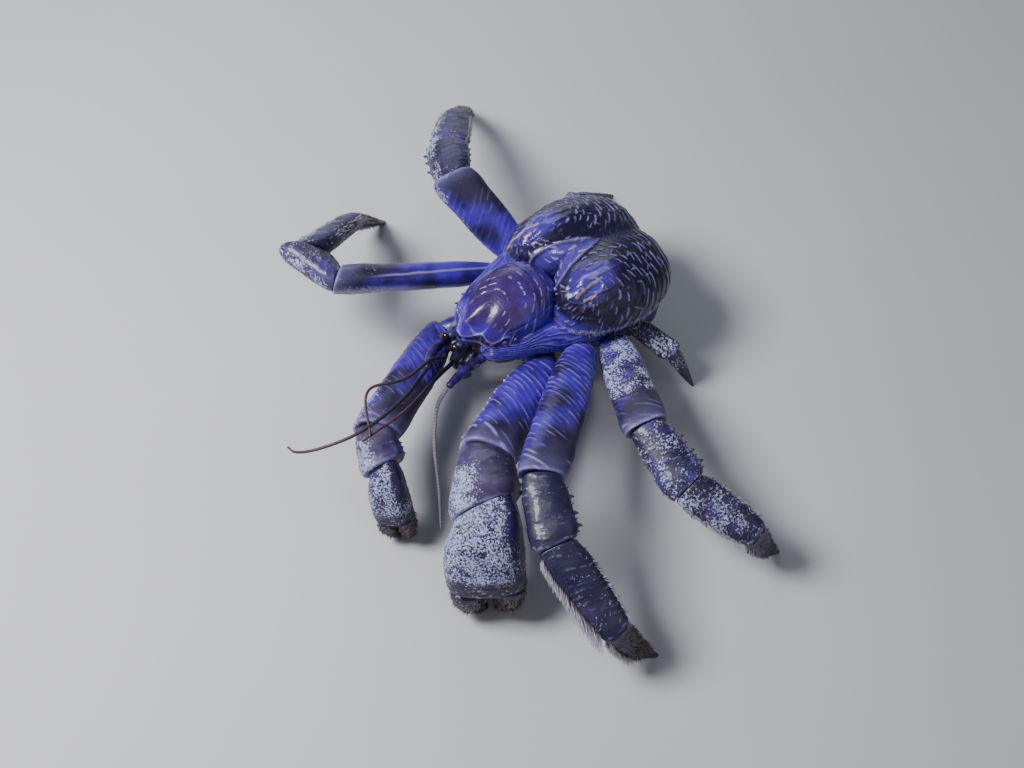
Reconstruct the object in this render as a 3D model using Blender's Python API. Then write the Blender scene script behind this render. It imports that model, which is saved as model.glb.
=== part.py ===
"""Life-size still model of a coconut crab, standing on a flat floor.

The crab faces -Y with +Z up and its left is +X. Sizes and joints are drawn in millimetres for the
largest adult; LIFE_SCALE brings the drawing to a usual adult with a thorax 60 mm long. Each shell
plate and each length of a limb is one closed solid. Spines, teeth and knobs are fused to the piece
that they grow from.
"""
import math

import bpy
import bmesh
import numpy as np
from mathutils import Matrix

LIFE_SCALE = 0.85
MM = 0.001 * LIFE_SCALE
GAP = 0.3 / LIFE_SCALE          # clearance between pieces that meet

# Front shield of the carapace
SHIELD_CENTRE = (0.0, -33.0)    # middle of the shield, x and y
SHIELD_HALF_WIDTH = 26.0
SHIELD_HALF_LENGTH = 33.0
SHIELD_RIM_Z = 63.0
SHIELD_HEIGHT = 26.0
SHIELD_DROP = 5.0               # from the rim to the flat underside
ROSTRUM_LENGTH = 6.0
SHIELD_TEETH = ((38, 4.0), (52, 3.0), (66, 2.4))    # bearing from straight ahead, and length
TOOTH_TILT = 79.0               # degrees from the top of the shield down to the teeth
TOOTH_RADIUS = 1.5

# Rear carapace; the outline lists the angle from straight ahead in degrees, and the reach
REAR_CENTRE = (0.0, 21.0)
REAR_RIM_Z = 62.0
REAR_HEIGHT = 30.5
REAR_DROP = 7.0
REAR_OUTLINE = ((0, 16), (22, 30), (40, 45), (62, 49.5), (90, 51.5), (120, 59), (145, 63.5), (165, 60.5),
                (180, 56))
TERRACE_ROWS = 6                # low steps that run along the rear and side margins
TERRACE_HEIGHT = 0.9
TERRACE_TOP = 30                # degrees from the top where the steps begin

# Thorax stations: y, half-width, bottom z, top z
THORAX = ((-62, 12, 42, 60), (-52, 18, 32, 64), (-36, 22, 25, 66), (-14, 26, 23, 68),
          (10, 31, 23, 72), (32, 31, 25, 74), (45, 25, 32, 74))
# Stations of the left flank: y, middle x, middle z, half-width, half-height
FLANK = ((-62, 15, 56, 5, 6), (-50, 20, 57, 7, 8), (-32, 25, 58, 9, 10),
         (-12, 30, 56, 11, 12), (8, 35, 54, 10, 11), (22, 38, 54, 5, 7))

# Joints of the limbs, from inside the thorax to the floor
VIEW_FACE = (0.42, -0.34, 0.84)     # the broad faces of most limbs look up, to the left and forward
CHELIPED_LEFT = ((14, -22, 36), (37, -28, 37), (78, -102, 52), (112, -127, 60), (144, -141, 0))
CHELIPED_RIGHT = ((-18, -46, 38), (-25, -67, 34), (27, -150, 53), (51, -159.5, 53), (74, -160, 0))
LEG2_LEFT = ((14, 0, 38), (45, -5, 49), (120, -92.5, 80), (158, -108, 70), (212, -102, 46), (226, -76, 0))
LEG3_LEFT = ((14, 18, 38), (47, 20, 44), (121, -12, 64), (165, -12, 55), (208, 7, 44), (214, 32, 0))
LEG2_RIGHT = ((-14, -10, 38), (-39.5, -23, 52), (-69, -118.5, 80), (-98.5, -126, 80), (-126, -76, 52),
              (-150, -36, 0))
LEG3_RIGHT = ((-14, 12, 38), (-42, 6, 50), (-94, -14, 90), (-125, 3, 80), (-171, 41, 48), (-214, 75, 0))
LEG4_LEFT = ((16, 32, 42), (41, 39, 44), (71, 53, 34), (85, 66, 0))
LEG4_RIGHT = ((-16, 32, 42), (-41, 39, 44), (-70, 76, 34), (-80, 121, 0))

# Middle line of the abdomen, folded under the body, and each segment's half-width and half-depth
ABDOMEN = ((0, 46, 46), (0, 59, 44), (0, 69, 30), (0, 62, 13.5), (0, 44, 11), (0, 23, 11), (0, 2, 9))
ABDOMEN_SIZE = ((33, 14), (34, 14.5), (34, 13), (32, 11), (27, 11), (18, 9))

# Feelers: the antenna's base, its flagellum, and the antennule
ANTENNA = {
    "left": (((14, -60, 49), (16, -68, 50), (19, -80, 53), (26, -96, 58)),
             ((26.4, -96.9, 58.2), (33, -108, 58), (43, -117, 50), (73, -133, 24), (87, -141, 12)),
             ((5, -64, 50), (8, -79, 51), (25, -110, 69), (37, -134, 79), (42, -168, 80))),
    "right": (((-12, -61, 51), (-8.5, -75, 52.5), (1, -92, 62), (14, -104, 71)),
              ((14.6, -104.7, 71.5), (29, -130, 79), (36, -173, 81), (18, -202, 66), (10, -202, 60)),
              ((-3, -64, 51), (0, -80, 53), (9, -88, 63), (12, -98, 74), (20, -127, 84), (15, -145, 84),
               (43, -163, 82))),
}

# Profiles of the limb lengths: place along the limb, half-depth and half-thickness at size 1
BASE = ((0, 0.85, 1.0), (0.5, 0.85, 1.0), (1, 0.72, 0.86))
MERUS = ((0, 0.66, 0.80), (0.12, 0.82, 0.92), (0.4, 0.98, 1.0), (0.7, 1.0, 1.0), (0.93, 1.03, 1.08),
         (1, 0.96, 1.0))
CARPUS = ((0, 0.74, 0.82), (0.2, 0.90, 0.98), (0.6, 1.0, 1.08), (0.88, 1.02, 1.08), (1, 0.90, 0.95))
PROPODUS = ((0, 0.82, 0.90), (0.15, 0.94, 0.98), (0.5, 0.92, 0.92), (0.85, 0.80, 0.82), (1, 0.70, 0.74))
DACTYL_BOW = -3.0               # how far the middle of a walking foot bends off its chord
DACTYL = ((0, 0.62, 0.70), (0.18, 0.66, 0.72), (0.5, 0.50, 0.54), (0.8, 0.30, 0.34), (1, 0.12, 0.16))
TERGITE = ((0, 0.92, 0.91), (0.3, 0.99, 0.99), (0.75, 1.03, 1.03), (1, 0.96, 0.95))
TELSON = ((0, 0.96, 0.95), (0.4, 0.95, 0.9), (0.8, 0.7, 0.6), (1, 0.4, 0.35))

# Hand: place along its curve, shift across, half-width and half-thickness at size 1
KNUCKLE = 0.58                  # where the palm ends and the movable finger is hinged
PALM = ((0.0, 0.0, 0.37, 0.40), (0.09, 0.0, 0.43, 0.46), (0.22, 0.0, 0.48, 0.50), (0.40, 0.0, 0.50, 0.50),
        (KNUCKLE, 0.0, 0.48, 0.44), (KNUCKLE + 0.01, 0.26, 0.22, 0.38), (0.72, 0.27, 0.19, 0.32),
        (0.86, 0.22, 0.14, 0.22), (0.96, 0.12, 0.08, 0.12), (1.0, 0.07, 0.035, 0.05))
FINGER = ((KNUCKLE + 0.02, -0.25, 0.19, 0.35), (0.64, -0.25, 0.21, 0.36), (0.73, -0.25, 0.20, 0.33),
          (0.86, -0.21, 0.14, 0.23), (0.95, -0.12, 0.08, 0.13), (0.985, -0.07, 0.035, 0.05))

SHELL = (0.055, 0.05, 0.30)
LEG = (0.05, 0.05, 0.26)
CLAW = (0.07, 0.05, 0.12)
CORNEOUS = (0.02, 0.015, 0.02)
SOFT = (0.10, 0.05, 0.12)
EYE = (0.01, 0.005, 0.01)


# Tools

def smooth_interp(x, xs, ys):
    """A curve through the points (xs, ys) with a continuous slope, read at x."""
    xs, ys = np.asarray(xs, float), np.asarray(ys, float)
    slope = np.gradient(ys, xs)
    x = np.clip(x, xs[0], xs[-1])
    i = np.clip(np.searchsorted(xs, x, side="right") - 1, 0, len(xs) - 2)
    width = xs[i + 1] - xs[i]
    t = (x - xs[i]) / width
    return ((2 * t**3 - 3 * t**2 + 1) * ys[i] + (t**3 - 2 * t**2 + t) * width * slope[i]
            + (3 * t**2 - 2 * t**3) * ys[i + 1] + (t**3 - t**2) * width * slope[i + 1])


def unit(vector):
    return np.asarray(vector, float) / np.linalg.norm(vector)


def super_ring(centre, across, up, half_width, half_depth, power, count):
    """A rounded rectangle of points about centre in the plane of across and up."""
    angle = np.linspace(0, 2 * np.pi, count, endpoint=False)
    c, s = np.cos(angle), np.sin(angle)
    x = np.sign(c) * np.abs(c) ** (2 / power) * half_width
    y = np.sign(s) * np.abs(s) ** (2 / power) * half_depth
    return np.asarray(centre, float) + np.outer(x, across) + np.outer(y, up)


def material(name, colour, roughness):
    found = bpy.data.materials.get(name)
    if found:
        return found
    made = bpy.data.materials.new(name)
    made.use_nodes = True
    shader = made.node_tree.nodes["Principled BSDF"]
    shader.inputs["Base Color"].default_value = (*colour, 1.0)
    shader.inputs["Roughness"].default_value = roughness
    return made


def collection(name):
    found = bpy.data.collections.get(name)
    if found is None:
        found = bpy.data.collections.new(name)
        bpy.context.scene.collection.children.link(found)
    return found


def new_object(name, mesh, group="coconut_crab"):
    obj = bpy.data.objects.new(name, mesh)
    collection(group).objects.link(obj)
    return obj


def loft(name, rings, tip=None, group="coconut_crab"):
    """A closed solid over a list of rings of points; a tip is one point that closes the last ring."""
    work = bmesh.new()
    loops = [[work.verts.new(tuple(p * MM)) for p in ring] for ring in rings]
    count = len(loops[0])
    for near, far in zip(loops, loops[1:]):
        for k in range(count):
            work.faces.new((near[k], near[(k + 1) % count], far[(k + 1) % count], far[k]))
    work.faces.new(loops[0][::-1])
    if tip is None:
        work.faces.new(loops[-1])
    else:
        point = work.verts.new(tuple(np.asarray(tip) * MM))
        for k in range(count):
            work.faces.new((loops[-1][k], loops[-1][(k + 1) % count], point))
    bmesh.ops.triangulate(work, faces=work.faces[:])
    bmesh.ops.recalc_face_normals(work, faces=work.faces[:])
    mesh = bpy.data.meshes.new(name)
    work.to_mesh(mesh)
    work.free()
    return new_object(name, mesh, group)


def keep_largest(obj):
    """Leaves only the largest closed surface of a mesh."""
    work = bmesh.new()
    work.from_mesh(obj.data)
    left, islands = set(work.verts), []
    while left:
        stack, island = [left.pop()], []
        while stack:
            vert = stack.pop()
            island.append(vert)
            for edge in vert.link_edges:
                other = edge.other_vert(vert)
                if other in left:
                    left.remove(other)
                    stack.append(other)
        islands.append(island)
    islands.sort(key=len)
    for island in islands[:-1]:
        bmesh.ops.delete(work, geom=island, context="VERTS")
    bmesh.ops.remove_doubles(work, verts=work.verts[:], dist=0.00003)
    bmesh.ops.dissolve_degenerate(work, dist=0.00001, edges=work.edges[:])
    bmesh.ops.triangulate(work, faces=work.faces[:])
    work.to_mesh(obj.data)
    work.free()


def bake_modifier(obj):
    graph = bpy.context.evaluated_depsgraph_get()
    mesh = bpy.data.meshes.new_from_object(obj.evaluated_get(graph))
    obj.modifiers.clear()
    obj.data = mesh


def cut_by(obj, cutters):
    """Cuts obj by each of the cutters, which are then removed."""
    for cutter in cutters:
        step = obj.modifiers.new("cut", "BOOLEAN")
        step.operation = "DIFFERENCE"
        step.object = cutter
        bake_modifier(obj)
        bpy.data.objects.remove(cutter)
    keep_largest(obj)


def fuse(obj, group="growths"):
    """Joins the objects of a collection to obj by one union, and removes them."""
    growths = collection(group)
    if not growths.objects:
        return
    step = obj.modifiers.new("fuse", "BOOLEAN")
    step.operation = "UNION"
    step.operand_type = "COLLECTION"
    step.collection = growths
    bake_modifier(obj)
    for growth in list(growths.objects):
        bpy.data.objects.remove(growth)
    keep_largest(obj)


def finish(obj, slot, colour, roughness):
    obj.data.materials.clear()
    obj.data.materials.append(material(slot, colour, roughness))
    obj.data.shade_smooth()
    obj.data.set_sharp_from_angle(angle=math.radians(50))


def spike(root, way, length, radius, lean=(0, 0, 0), blunt=0.55):
    """A four-sided thorn or knob with its root sunk below the surface that it grows from."""
    way = unit(way)
    side = unit(np.cross(way, (0.31, 0.17, 0.94)))
    other = np.cross(way, side)
    rings = [super_ring(root - way * 1.1 * radius, side, other, radius, radius, 2.0, 4),
             super_ring(root + way * 0.5 * length + 0.35 * np.asarray(lean, float), side, other,
                        radius * blunt, radius * blunt, 2.0, 4)]
    return loft("growth", rings, tip=root + way * length + np.asarray(lean, float), group="growths")


# Carapace

def outline_radius(phi, half_width, half_length, power):
    """Reach of a rounded rectangle in the direction phi, measured from straight ahead."""
    return ((np.abs(np.sin(phi)) / half_width) ** power
            + (np.abs(np.cos(phi)) / half_length) ** power) ** (-1 / power)


def bump(x, middle, width):
    """A smooth hump of height 1 at middle."""
    return np.exp(-((x - middle) / width) ** 2)


def shield_point(phi, t, grow=0.0):
    """A point on the front shield: phi goes round it, t runs from 0 at the top to 90 degrees at the rim."""
    reach = outline_radius(phi, SHIELD_HALF_WIDTH + grow, SHIELD_HALF_LENGTH + grow, 2.3)
    wrapped = np.abs((phi + np.pi) % (2 * np.pi) - np.pi)
    reach = reach + ROSTRUM_LENGTH * bump(wrapped, 0, 0.16) - 1.6 * bump(wrapped, 0.36, 0.12)
    rho, lift = np.sin(t) ** (2 / 2.5), np.cos(t) ** (2 / 2.5)
    x = SHIELD_CENTRE[0] + reach * rho * np.sin(phi)
    y = SHIELD_CENTRE[1] - reach * rho * np.cos(phi)
    along = (y - SHIELD_CENTRE[1]) / SHIELD_HALF_LENGTH
    rim = SHIELD_RIM_Z + 3.0 * along
    side_furrow = 2.0 * bump(np.abs(x), 17, 4) * bump(along, -0.55, 0.3)
    cross_furrow = 1.3 * bump(along, 0.52 - 0.25 * (x / SHIELD_HALF_WIDTH) ** 2, 0.07)
    furrow = side_furrow + cross_furrow
    return np.stack([x, y, rim + (SHIELD_HEIGHT + grow + 2.5 * along - furrow) * lift], -1)


def rear_point(phi, t, grow=0.0):
    """A point on the rear carapace with its two gill lobes, the heart field, furrows and terraces."""
    wrapped = np.abs((phi + np.pi) % (2 * np.pi) - np.pi)
    reach = smooth_interp(np.degrees(wrapped), *zip(*REAR_OUTLINE)) + grow
    rho, lift = np.sin(t) ** (2 / 2.4), np.cos(t) ** (2 / 2.4)
    x = REAR_CENTRE[0] + reach * rho * np.sin(phi)
    y = REAR_CENTRE[1] - reach * rho * np.cos(phi)
    side, back = np.abs(x), y - REAR_CENTRE[1]
    rim = REAR_RIM_Z + 4 * np.clip(back / 50, 0, 1) ** 2 + 3 * np.clip(-back / 40, 0, 1)
    lobes = 6.5 * np.exp(-((side - 27) / 13) ** 2 - (back / 30) ** 2)
    back_valley = 1.6 * bump(side, 0, 9) * np.clip(back / 12, 0, 1)
    front_valley = 2.0 * bump(side, 9, 5) * bump(back, -20, 14)
    top = REAR_HEIGHT + grow + lobes - back_valley - front_valley - 8 * np.clip(back / 50, 0, 1) ** 2
    point = np.stack([x, y, rim + top * lift], -1)
    row = (np.degrees(t) - TERRACE_TOP) / ((90 - TERRACE_TOP) / TERRACE_ROWS)
    step = np.abs((row + 0.5) % 1.0 - 0.5) * 2 * (row < TERRACE_ROWS - 0.4)
    strength = TERRACE_HEIGHT * (1 - step) * (row > 0) * np.clip((np.degrees(wrapped) - 55) / 30, 0, 1)
    outward = np.stack([rho * np.sin(phi), -rho * np.cos(phi), lift], -1)
    return point - outward * strength[..., None]


def dome(name, point, tilts, spokes, drop, grow=0.0, group="coconut_crab"):
    """A closed dome: rings of points from the rim to the top, over a bottom drawn in below the rim."""
    phi = np.linspace(0, 2 * np.pi, spokes, endpoint=False)
    loops = [point(phi, np.full(spokes, t), grow) for t in tilts]
    centre = loops[0].mean(0)
    bottom = centre + (loops[0] - centre) * np.array([0.82, 0.82, 1.0]) - np.array([0, 0, drop + grow])
    return loft(name, [bottom, *loops], tip=point(np.zeros(1), np.zeros(1), grow)[0], group=group)


def shield_dome(name, grow=0.0, group="coconut_crab"):
    tilts = np.linspace(np.pi / 2, 0, 11, endpoint=False)
    return dome(name, shield_point, tilts, 36, SHIELD_DROP, grow, group)


def rear_dome(name, grow=0.0, group="coconut_crab"):
    rows = np.radians(np.linspace(90, TERRACE_TOP, 2 * TERRACE_ROWS + 1))
    crown = np.radians((22, 14, 7))
    return dome(name, rear_point, [*rows, *crown], 44, REAR_DROP, grow, group)


# Thorax and flanks

def thorax(name, grow=0.0, group="coconut_crab"):
    rings = []
    for y, half_width, low, high in THORAX:
        end = grow * (-1 if y == THORAX[0][0] else 1 if y == THORAX[-1][0] else 0)
        rings.append(super_ring((0, y + end, (low + high) / 2), (1, 0, 0), (0, 0, 1),
                                half_width + grow, (high - low) / 2 + grow, 3.0, 16))
    return loft(name, rings, group=group)


def flank(name, side, grow=0.0, group="coconut_crab"):
    rings = []
    for y, x, z, half_width, half_height in FLANK:
        end = grow * (-1 if y == FLANK[0][0] else 1 if y == FLANK[-1][0] else 0)
        rings.append(super_ring((side * x, y + end, z), (1, 0, 0), (0, 0, 1),
                                half_width + grow, half_height + grow, 2.2, 14))
    return loft(name, rings, group=group)


def body_cutters(*words):
    """Grown copies of the named body shapes, for cutting the pieces that meet them."""
    makers = {"shield": shield_dome, "rear": rear_dome, "thorax": thorax}
    made = []
    for word in words:
        if word in makers:
            made.append(makers[word]("cut", GAP, "cutters"))
        else:
            made.append(flank("cut", 1 if word == "left" else -1, GAP, "cutters"))
    return made


def build_body():
    shield = shield_dome("carapace_shield")
    for side in (1, -1):
        for phi, length in SHIELD_TEETH:
            root = shield_point(np.radians([side * phi]), np.radians([TOOTH_TILT]))[0]
            spike(root, (side * 0.5, -1.0, 0.15), length, TOOTH_RADIUS)
    rear = rear_dome("carapace_rear")
    core = thorax("thorax")
    cut_by(rear, body_cutters("shield"))
    cut_by(core, body_cutters("shield", "rear"))
    flanks = []
    for side, word in ((1, "left"), (-1, "right")):
        piece = flank("flank_" + word, side)
        cut_by(piece, body_cutters("shield", "rear", "thorax"))
        flanks.append(piece)
    fuse(shield)
    for piece in (shield, rear, *flanks):
        finish(piece, "shell", SHELL, 0.3)
    finish(core, "underside", SOFT, 0.6)


# Limbs

class Length:
    """One length of a limb between two joints, closed by flat faces that halve the bend at each joint."""

    def __init__(self, start, end, before, after, face, profile, size, power=2.4, bow=0.0, floor=False,
                 tilt=0.0):
        start, end = np.asarray(start, float), np.asarray(end, float)
        self.along = unit(end - start)
        self.thick = unit(face - (face @ self.along) * self.along)
        self.deep = np.cross(self.thick, self.along)
        self.near = unit(self.along + (self.along if before is None else before))
        self.far = unit(self.along + (self.along if after is None else after) + tilt)
        if floor:
            self.far = np.array([0.0, 0.0, -1.0])
        self.start = start + self.along * GAP / 2 / (self.along @ self.near)
        self.end = end - self.along * (0.0 if floor else GAP / 2 / (self.along @ self.far))
        self.profile, self.size, self.power, self.bow = np.array(profile), size, power, bow
        self.length = np.linalg.norm(self.end - self.start)
        self.reach = [self.skew_reach(normal) for normal in (self.near, self.far)]

    def skew_reach(self, normal):
        """Over what share of the length the slant of an end face dies away."""
        slant = np.hypot((normal @ self.deep) * self.size[0], (normal @ self.thick) * self.size[1])
        return min(1.0, max(0.4, 3 * slant / abs(self.along @ normal) / self.length))

    def surface(self, place, angle, lift=0.0):
        """Points at a place from 0 to 1 along the length and an angle around it, raised by lift."""
        place, angle = np.broadcast_arrays(np.asarray(place, float), np.asarray(angle, float))
        c, s = np.cos(angle), np.sin(angle)
        depth = smooth_interp(place, self.profile[:, 0], self.profile[:, 1]) * self.size[0] + lift
        thick = smooth_interp(place, self.profile[:, 0], self.profile[:, 2]) * self.size[1] + lift
        x = np.sign(c) * np.abs(c) ** (2 / self.power) * depth
        y = np.sign(s) * np.abs(s) ** (2 / self.power) * thick
        off = x[..., None] * self.deep + y[..., None] * self.thick
        shift = np.zeros(place.shape)
        for distance, normal, reach in ((place, self.near, self.reach[0]),
                                        (1 - place, self.far, self.reach[1])):
            shift -= np.clip(1 - distance / reach, 0, 1) * (off @ normal) / (self.along @ normal)
        bend = self.bow * 4 * place * (1 - place)
        centre = self.start + (place * self.length)[..., None] * self.along + bend[..., None] * self.deep
        return centre + off + shift[..., None] * self.along

    def solid(self, name, stations=None, count=12):
        """The closed mesh; stations list the places of its rings and how far each is raised."""
        stations = stations or [(place, 0.0) for place in self.profile[:, 0]]
        angles = np.linspace(0, 2 * np.pi, count, endpoint=False)
        return loft(name, [self.surface(place, angles, lift) for place, lift in stations])

    def grow_spines(self, places, degrees, length, radius, lean=0.0, blunt=0.55):
        """A row of spines along the length at one angle around it, leaning towards the far end."""
        angle, turn, step = math.radians(degrees), math.radians(8), 0.04
        for place in places:
            root = self.surface(place, angle)
            around = self.surface(place, angle + turn) - self.surface(place, angle - turn)
            onward = self.surface(place + step, angle) - self.surface(place - step, angle)
            way = unit(np.cross(around, onward))
            middle = (root + self.surface(place, angle + math.pi)) / 2
            if way @ (root - middle) < 0:
                way = -way
            spike(root, way, length, radius, lean * length * self.along, blunt)


def rib_stations(ribs, height):
    """Rings of a merus with cross ribs: each rises with a step and falls away towards the far end."""
    stations = [(0.0, 0.0)]
    for k in range(ribs):
        place = 0.10 + 0.80 * k / ribs
        stations += [(place, 0.0), (place + 0.176 / ribs, height)]
    return stations + [(0.93, 0.0), (1.0, 0.0)]


def walking_leg(name, joints, face, size, cut):
    """A walking leg from five joints and a foot: base, merus, carpus, propodus and dactyl."""
    joints = [np.asarray(joint, float) for joint in joints]
    ways = [unit(b - a) for a, b in zip(joints, joints[1:])]
    parts = (("base", BASE, 0.78), ("merus", MERUS, 1.0), ("carpus", CARPUS, 0.98),
             ("propodus", PROPODUS, 0.92), ("dactyl", DACTYL, 0.92))
    for k, (word, profile, scale) in enumerate(parts):
        last = word == "dactyl"
        piece = Length(joints[k], joints[k + 1], ways[k - 1] if k else None, None if last else ways[k + 1],
                       unit(face), profile, (size[0] * scale, size[1] * scale), floor=last,
                       bow=DACTYL_BOW if last else 0.0)
        solid = piece.solid(name + "_" + word, rib_stations(9, 0.7) if word == "merus" else None)
        if word in ("base", "merus"):
            cut_by(solid, body_cutters(*cut))
        if word == "carpus":
            piece.grow_spines((0.35, 0.6, 0.82), 0, 2.6, 1.7, 0.3)
        if word == "propodus":
            piece.grow_spines((0.25, 0.45, 0.65, 0.85), 180, 1.8, 1.3, 0.5)
        if last:
            piece.grow_spines((0.2, 0.38, 0.54, 0.68), 180, 2.0, 0.95, 0.6)
            piece.grow_spines((0.28, 0.46, 0.62), 0, 1.8, 0.9, 0.6)
        fuse(solid)
        if last:
            finish(solid, "claw_tip", CORNEOUS, 0.4)
        else:
            finish(solid, "limb", LEG, 0.4)


class Hand:
    """A hand along a curve from its wrist, past a control point, to its tip on the floor."""

    def __init__(self, joint, control, tip, before, width_axis, tilt, width, thickness):
        self.joint, self.control, self.tip = (np.asarray(v, float) for v in (joint, control, tip))
        self.across, self.width, self.thickness = unit(width_axis), width, thickness
        self.near = unit(unit(self.control - self.joint) + before + tilt)

    def axes(self, u):
        """The middle of the hand at u from 0 to 1, its way onward, and directions across and through it."""
        centre = (1 - u) ** 2 * self.joint + 2 * u * (1 - u) * self.control + u * u * self.tip
        along = unit(2 * (1 - u) * (self.control - self.joint) + 2 * u * (self.tip - self.control))
        side = unit(self.across - (self.across @ along) * along)
        return centre, along, side, np.cross(along, side)

    def ring(self, u, shift, half_width, half_thick, count):
        """A ring round the palm or a finger; near the wrist it slants into the plane of the joint."""
        centre, along, side, thick = self.axes(u)
        ring = super_ring(centre + side * shift * self.width, side, thick, half_width * self.width,
                          half_thick * self.thickness, 2.6, count)
        slant = -((ring - centre) @ self.near) / (along @ self.near)
        start = GAP / 2 / (along @ self.near) if u == 0 else 0.0
        return ring + np.outer(max(0.0, 1 - u / 0.4) * slant * (u < KNUCKLE) + start, along)

    def grow_teeth(self, stations, places, inward, length, radius):
        """Blunt teeth on the biting edge of a finger; inward is the side that faces the other finger."""
        table = np.array(stations)
        for u in places:
            centre, _, side, _ = self.axes(u)
            shift, half_width = (np.interp(u, table[:, 0], table[:, k]) for k in (1, 2))
            root = centre + side * (shift + inward * half_width) * self.width
            spike(root, inward * side, length, radius, blunt=0.8)

    def grow_knobs(self, places, length, radius):
        """Knobs along the outer edge of the palm."""
        table = np.array(PALM)
        for u in places:
            centre, along, side, _ = self.axes(u)
            half_width = np.interp(u, table[:, 0], table[:, 2])
            spike(centre - side * half_width * self.width, along * 0.4 - side, length, radius, blunt=0.7)


def chela(name, hand, tooth):
    """The hand: a palm that carries the fixed finger, and a movable finger hinged on its other half."""
    rings = [hand.ring(*station, 16) for station in PALM]
    rings[-1][:, 2] = 0.0
    palm = loft(name + "_palm", rings)
    hand.grow_teeth(PALM, (0.65, 0.74, 0.83, 0.91), -1, tooth, tooth)
    hand.grow_knobs((0.2, 0.3, 0.4, 0.5), tooth * 0.9, tooth)
    fuse(palm)
    finger = loft(name + "_finger", [hand.ring(*station, 14) for station in FINGER])
    hand.grow_teeth(FINGER, (0.69, 0.785, 0.87), 1, tooth, tooth)
    fuse(finger)
    finish(palm, "claw", CLAW, 0.45)
    finish(finger, "claw", CLAW, 0.45)


def cheliped(name, joints, control, face, width_axis, slant, sizes, cut, tooth):
    """The claw arm: base, merus and carpus between four joints, then the hand down to the floor."""
    joints = [np.asarray(joint, float) for joint in joints]
    ways = [unit(b - a) for a, b in zip(joints, joints[1:])]
    hand_way = unit(np.asarray(control, float) - joints[3])
    tilt = slant * unit(width_axis)
    parts = (("base", BASE, sizes[0]), ("merus", MERUS, sizes[1]), ("carpus", CARPUS, sizes[2]))
    for k, (word, profile, size) in enumerate(parts):
        piece = Length(joints[k], joints[k + 1], ways[k - 1] if k else None,
                       ways[k + 1] if k < 2 else hand_way, unit(face), profile, size,
                       tilt=tilt if k == 2 else 0.0)
        solid = piece.solid(name + "_" + word, rib_stations(8, 0.7) if word == "merus" else None, 16)
        if word == "carpus":
            piece.grow_spines((0.4, 0.62, 0.84), 0, tooth * 1.2, tooth * 0.8, 0.4)
        else:
            cut_by(solid, body_cutters(*cut))
        fuse(solid)
        finish(solid, "limb", LEG, 0.35)
    chela(name, Hand(joints[3], control, joints[4], ways[2], width_axis, tilt, *sizes[3]), tooth)


def small_leg(name, joints, face, size, cut):
    """The small fourth leg: a base, an arm and a little hand that ends on the floor."""
    joints = [np.asarray(joint, float) for joint in joints]
    ways = [unit(b - a) for a, b in zip(joints, joints[1:])]
    for k, (word, profile) in enumerate((("base", BASE), ("arm", MERUS), ("hand", DACTYL))):
        piece = Length(joints[k], joints[k + 1], ways[k - 1] if k else None, ways[k + 1] if k < 2 else None,
                       unit(face), profile, size, floor=(word == "hand"))
        solid = piece.solid(name + "_" + word, count=10)
        if word != "hand":
            cut_by(solid, body_cutters(*cut))
        finish(solid, "limb", LEG, 0.4)


def build_limbs():
    cheliped("cheliped_left", CHELIPED_LEFT, (145, -149, 40), VIEW_FACE, (0.57, 0.82, 0.05), 0.8,
             ((13, 12), (17.8, 13.5), (20.5, 16), (49, 35)), ("thorax", "left", "shield", "rear"), 2.2)
    cheliped("cheliped_right", CHELIPED_RIGHT, (73, -168, 34), VIEW_FACE, (0.62, 0.72, 0.30), 0.6,
             ((10, 9), (14.5, 11), (14, 12), (25, 20)), ("thorax", "right", "shield"), 1.2)
    walking_leg("leg2_left", LEG2_LEFT, VIEW_FACE, (14.8, 8.6), ("thorax", "left", "rear"))
    walking_leg("leg3_left", LEG3_LEFT, VIEW_FACE, (14.5, 8.5), ("thorax", "left", "rear"))
    walking_leg("leg2_right", LEG2_RIGHT, (0.775, -0.34, -0.53), (15.5, 8.8),
                ("thorax", "right", "shield", "rear"))
    walking_leg("leg3_right", LEG3_RIGHT, VIEW_FACE, (14.5, 8.5), ("thorax", "right", "rear"))
    small_leg("leg4_left", LEG4_LEFT, VIEW_FACE, (7.5, 5.5), ("thorax", "rear"))
    small_leg("leg4_right", LEG4_RIGHT, VIEW_FACE, (7.5, 5.5), ("thorax", "rear"))


# Abdomen

def build_abdomen():
    """Five tergites and the telson along the folded middle line, flat where they lie on the floor."""
    joints = [np.asarray(joint, float) for joint in ABDOMEN]
    ways = [unit(b - a) for a, b in zip(joints, joints[1:])]
    for k, size in enumerate(ABDOMEN_SIZE):
        last = k == len(ABDOMEN_SIZE) - 1
        face = np.array([0.0, 1.0, -1.0] if k < 2 else [0.0, 0.0, -1.0])
        piece = Length(joints[k], joints[k + 1], ways[k - 1] if k else None, None if last else ways[k + 1],
                       face, TELSON if last else TERGITE, size, power=2.8)
        solid = piece.solid("telson" if last else "abdomen_%d" % (k + 1), count=20)
        for vertex in solid.data.vertices:
            vertex.co.z = max(vertex.co.z, 0.0)
        if k == 0:
            cut_by(solid, body_cutters("thorax", "rear"))
        finish(solid, "underside", SOFT, 0.5)


# Head

def tube(name, points, radii, sides=8, flat=1.0, group="coconut_crab"):
    """A tapering stalk through points; flat makes it lower than it is wide."""
    points = [np.asarray(p, float) for p in points]
    rings = []
    side = np.cross(points[1] - points[0], (0.13, 0.21, 1.0))
    for k, point in enumerate(points):
        along = unit(points[min(k + 1, len(points) - 1)] - points[max(k - 1, 0)])
        side = unit(side - (side @ along) * along)
        rings.append(super_ring(point, side, np.cross(along, side), radii[k], radii[k] * flat, 2.0, sides))
    return loft(name, rings, group=group)


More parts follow.
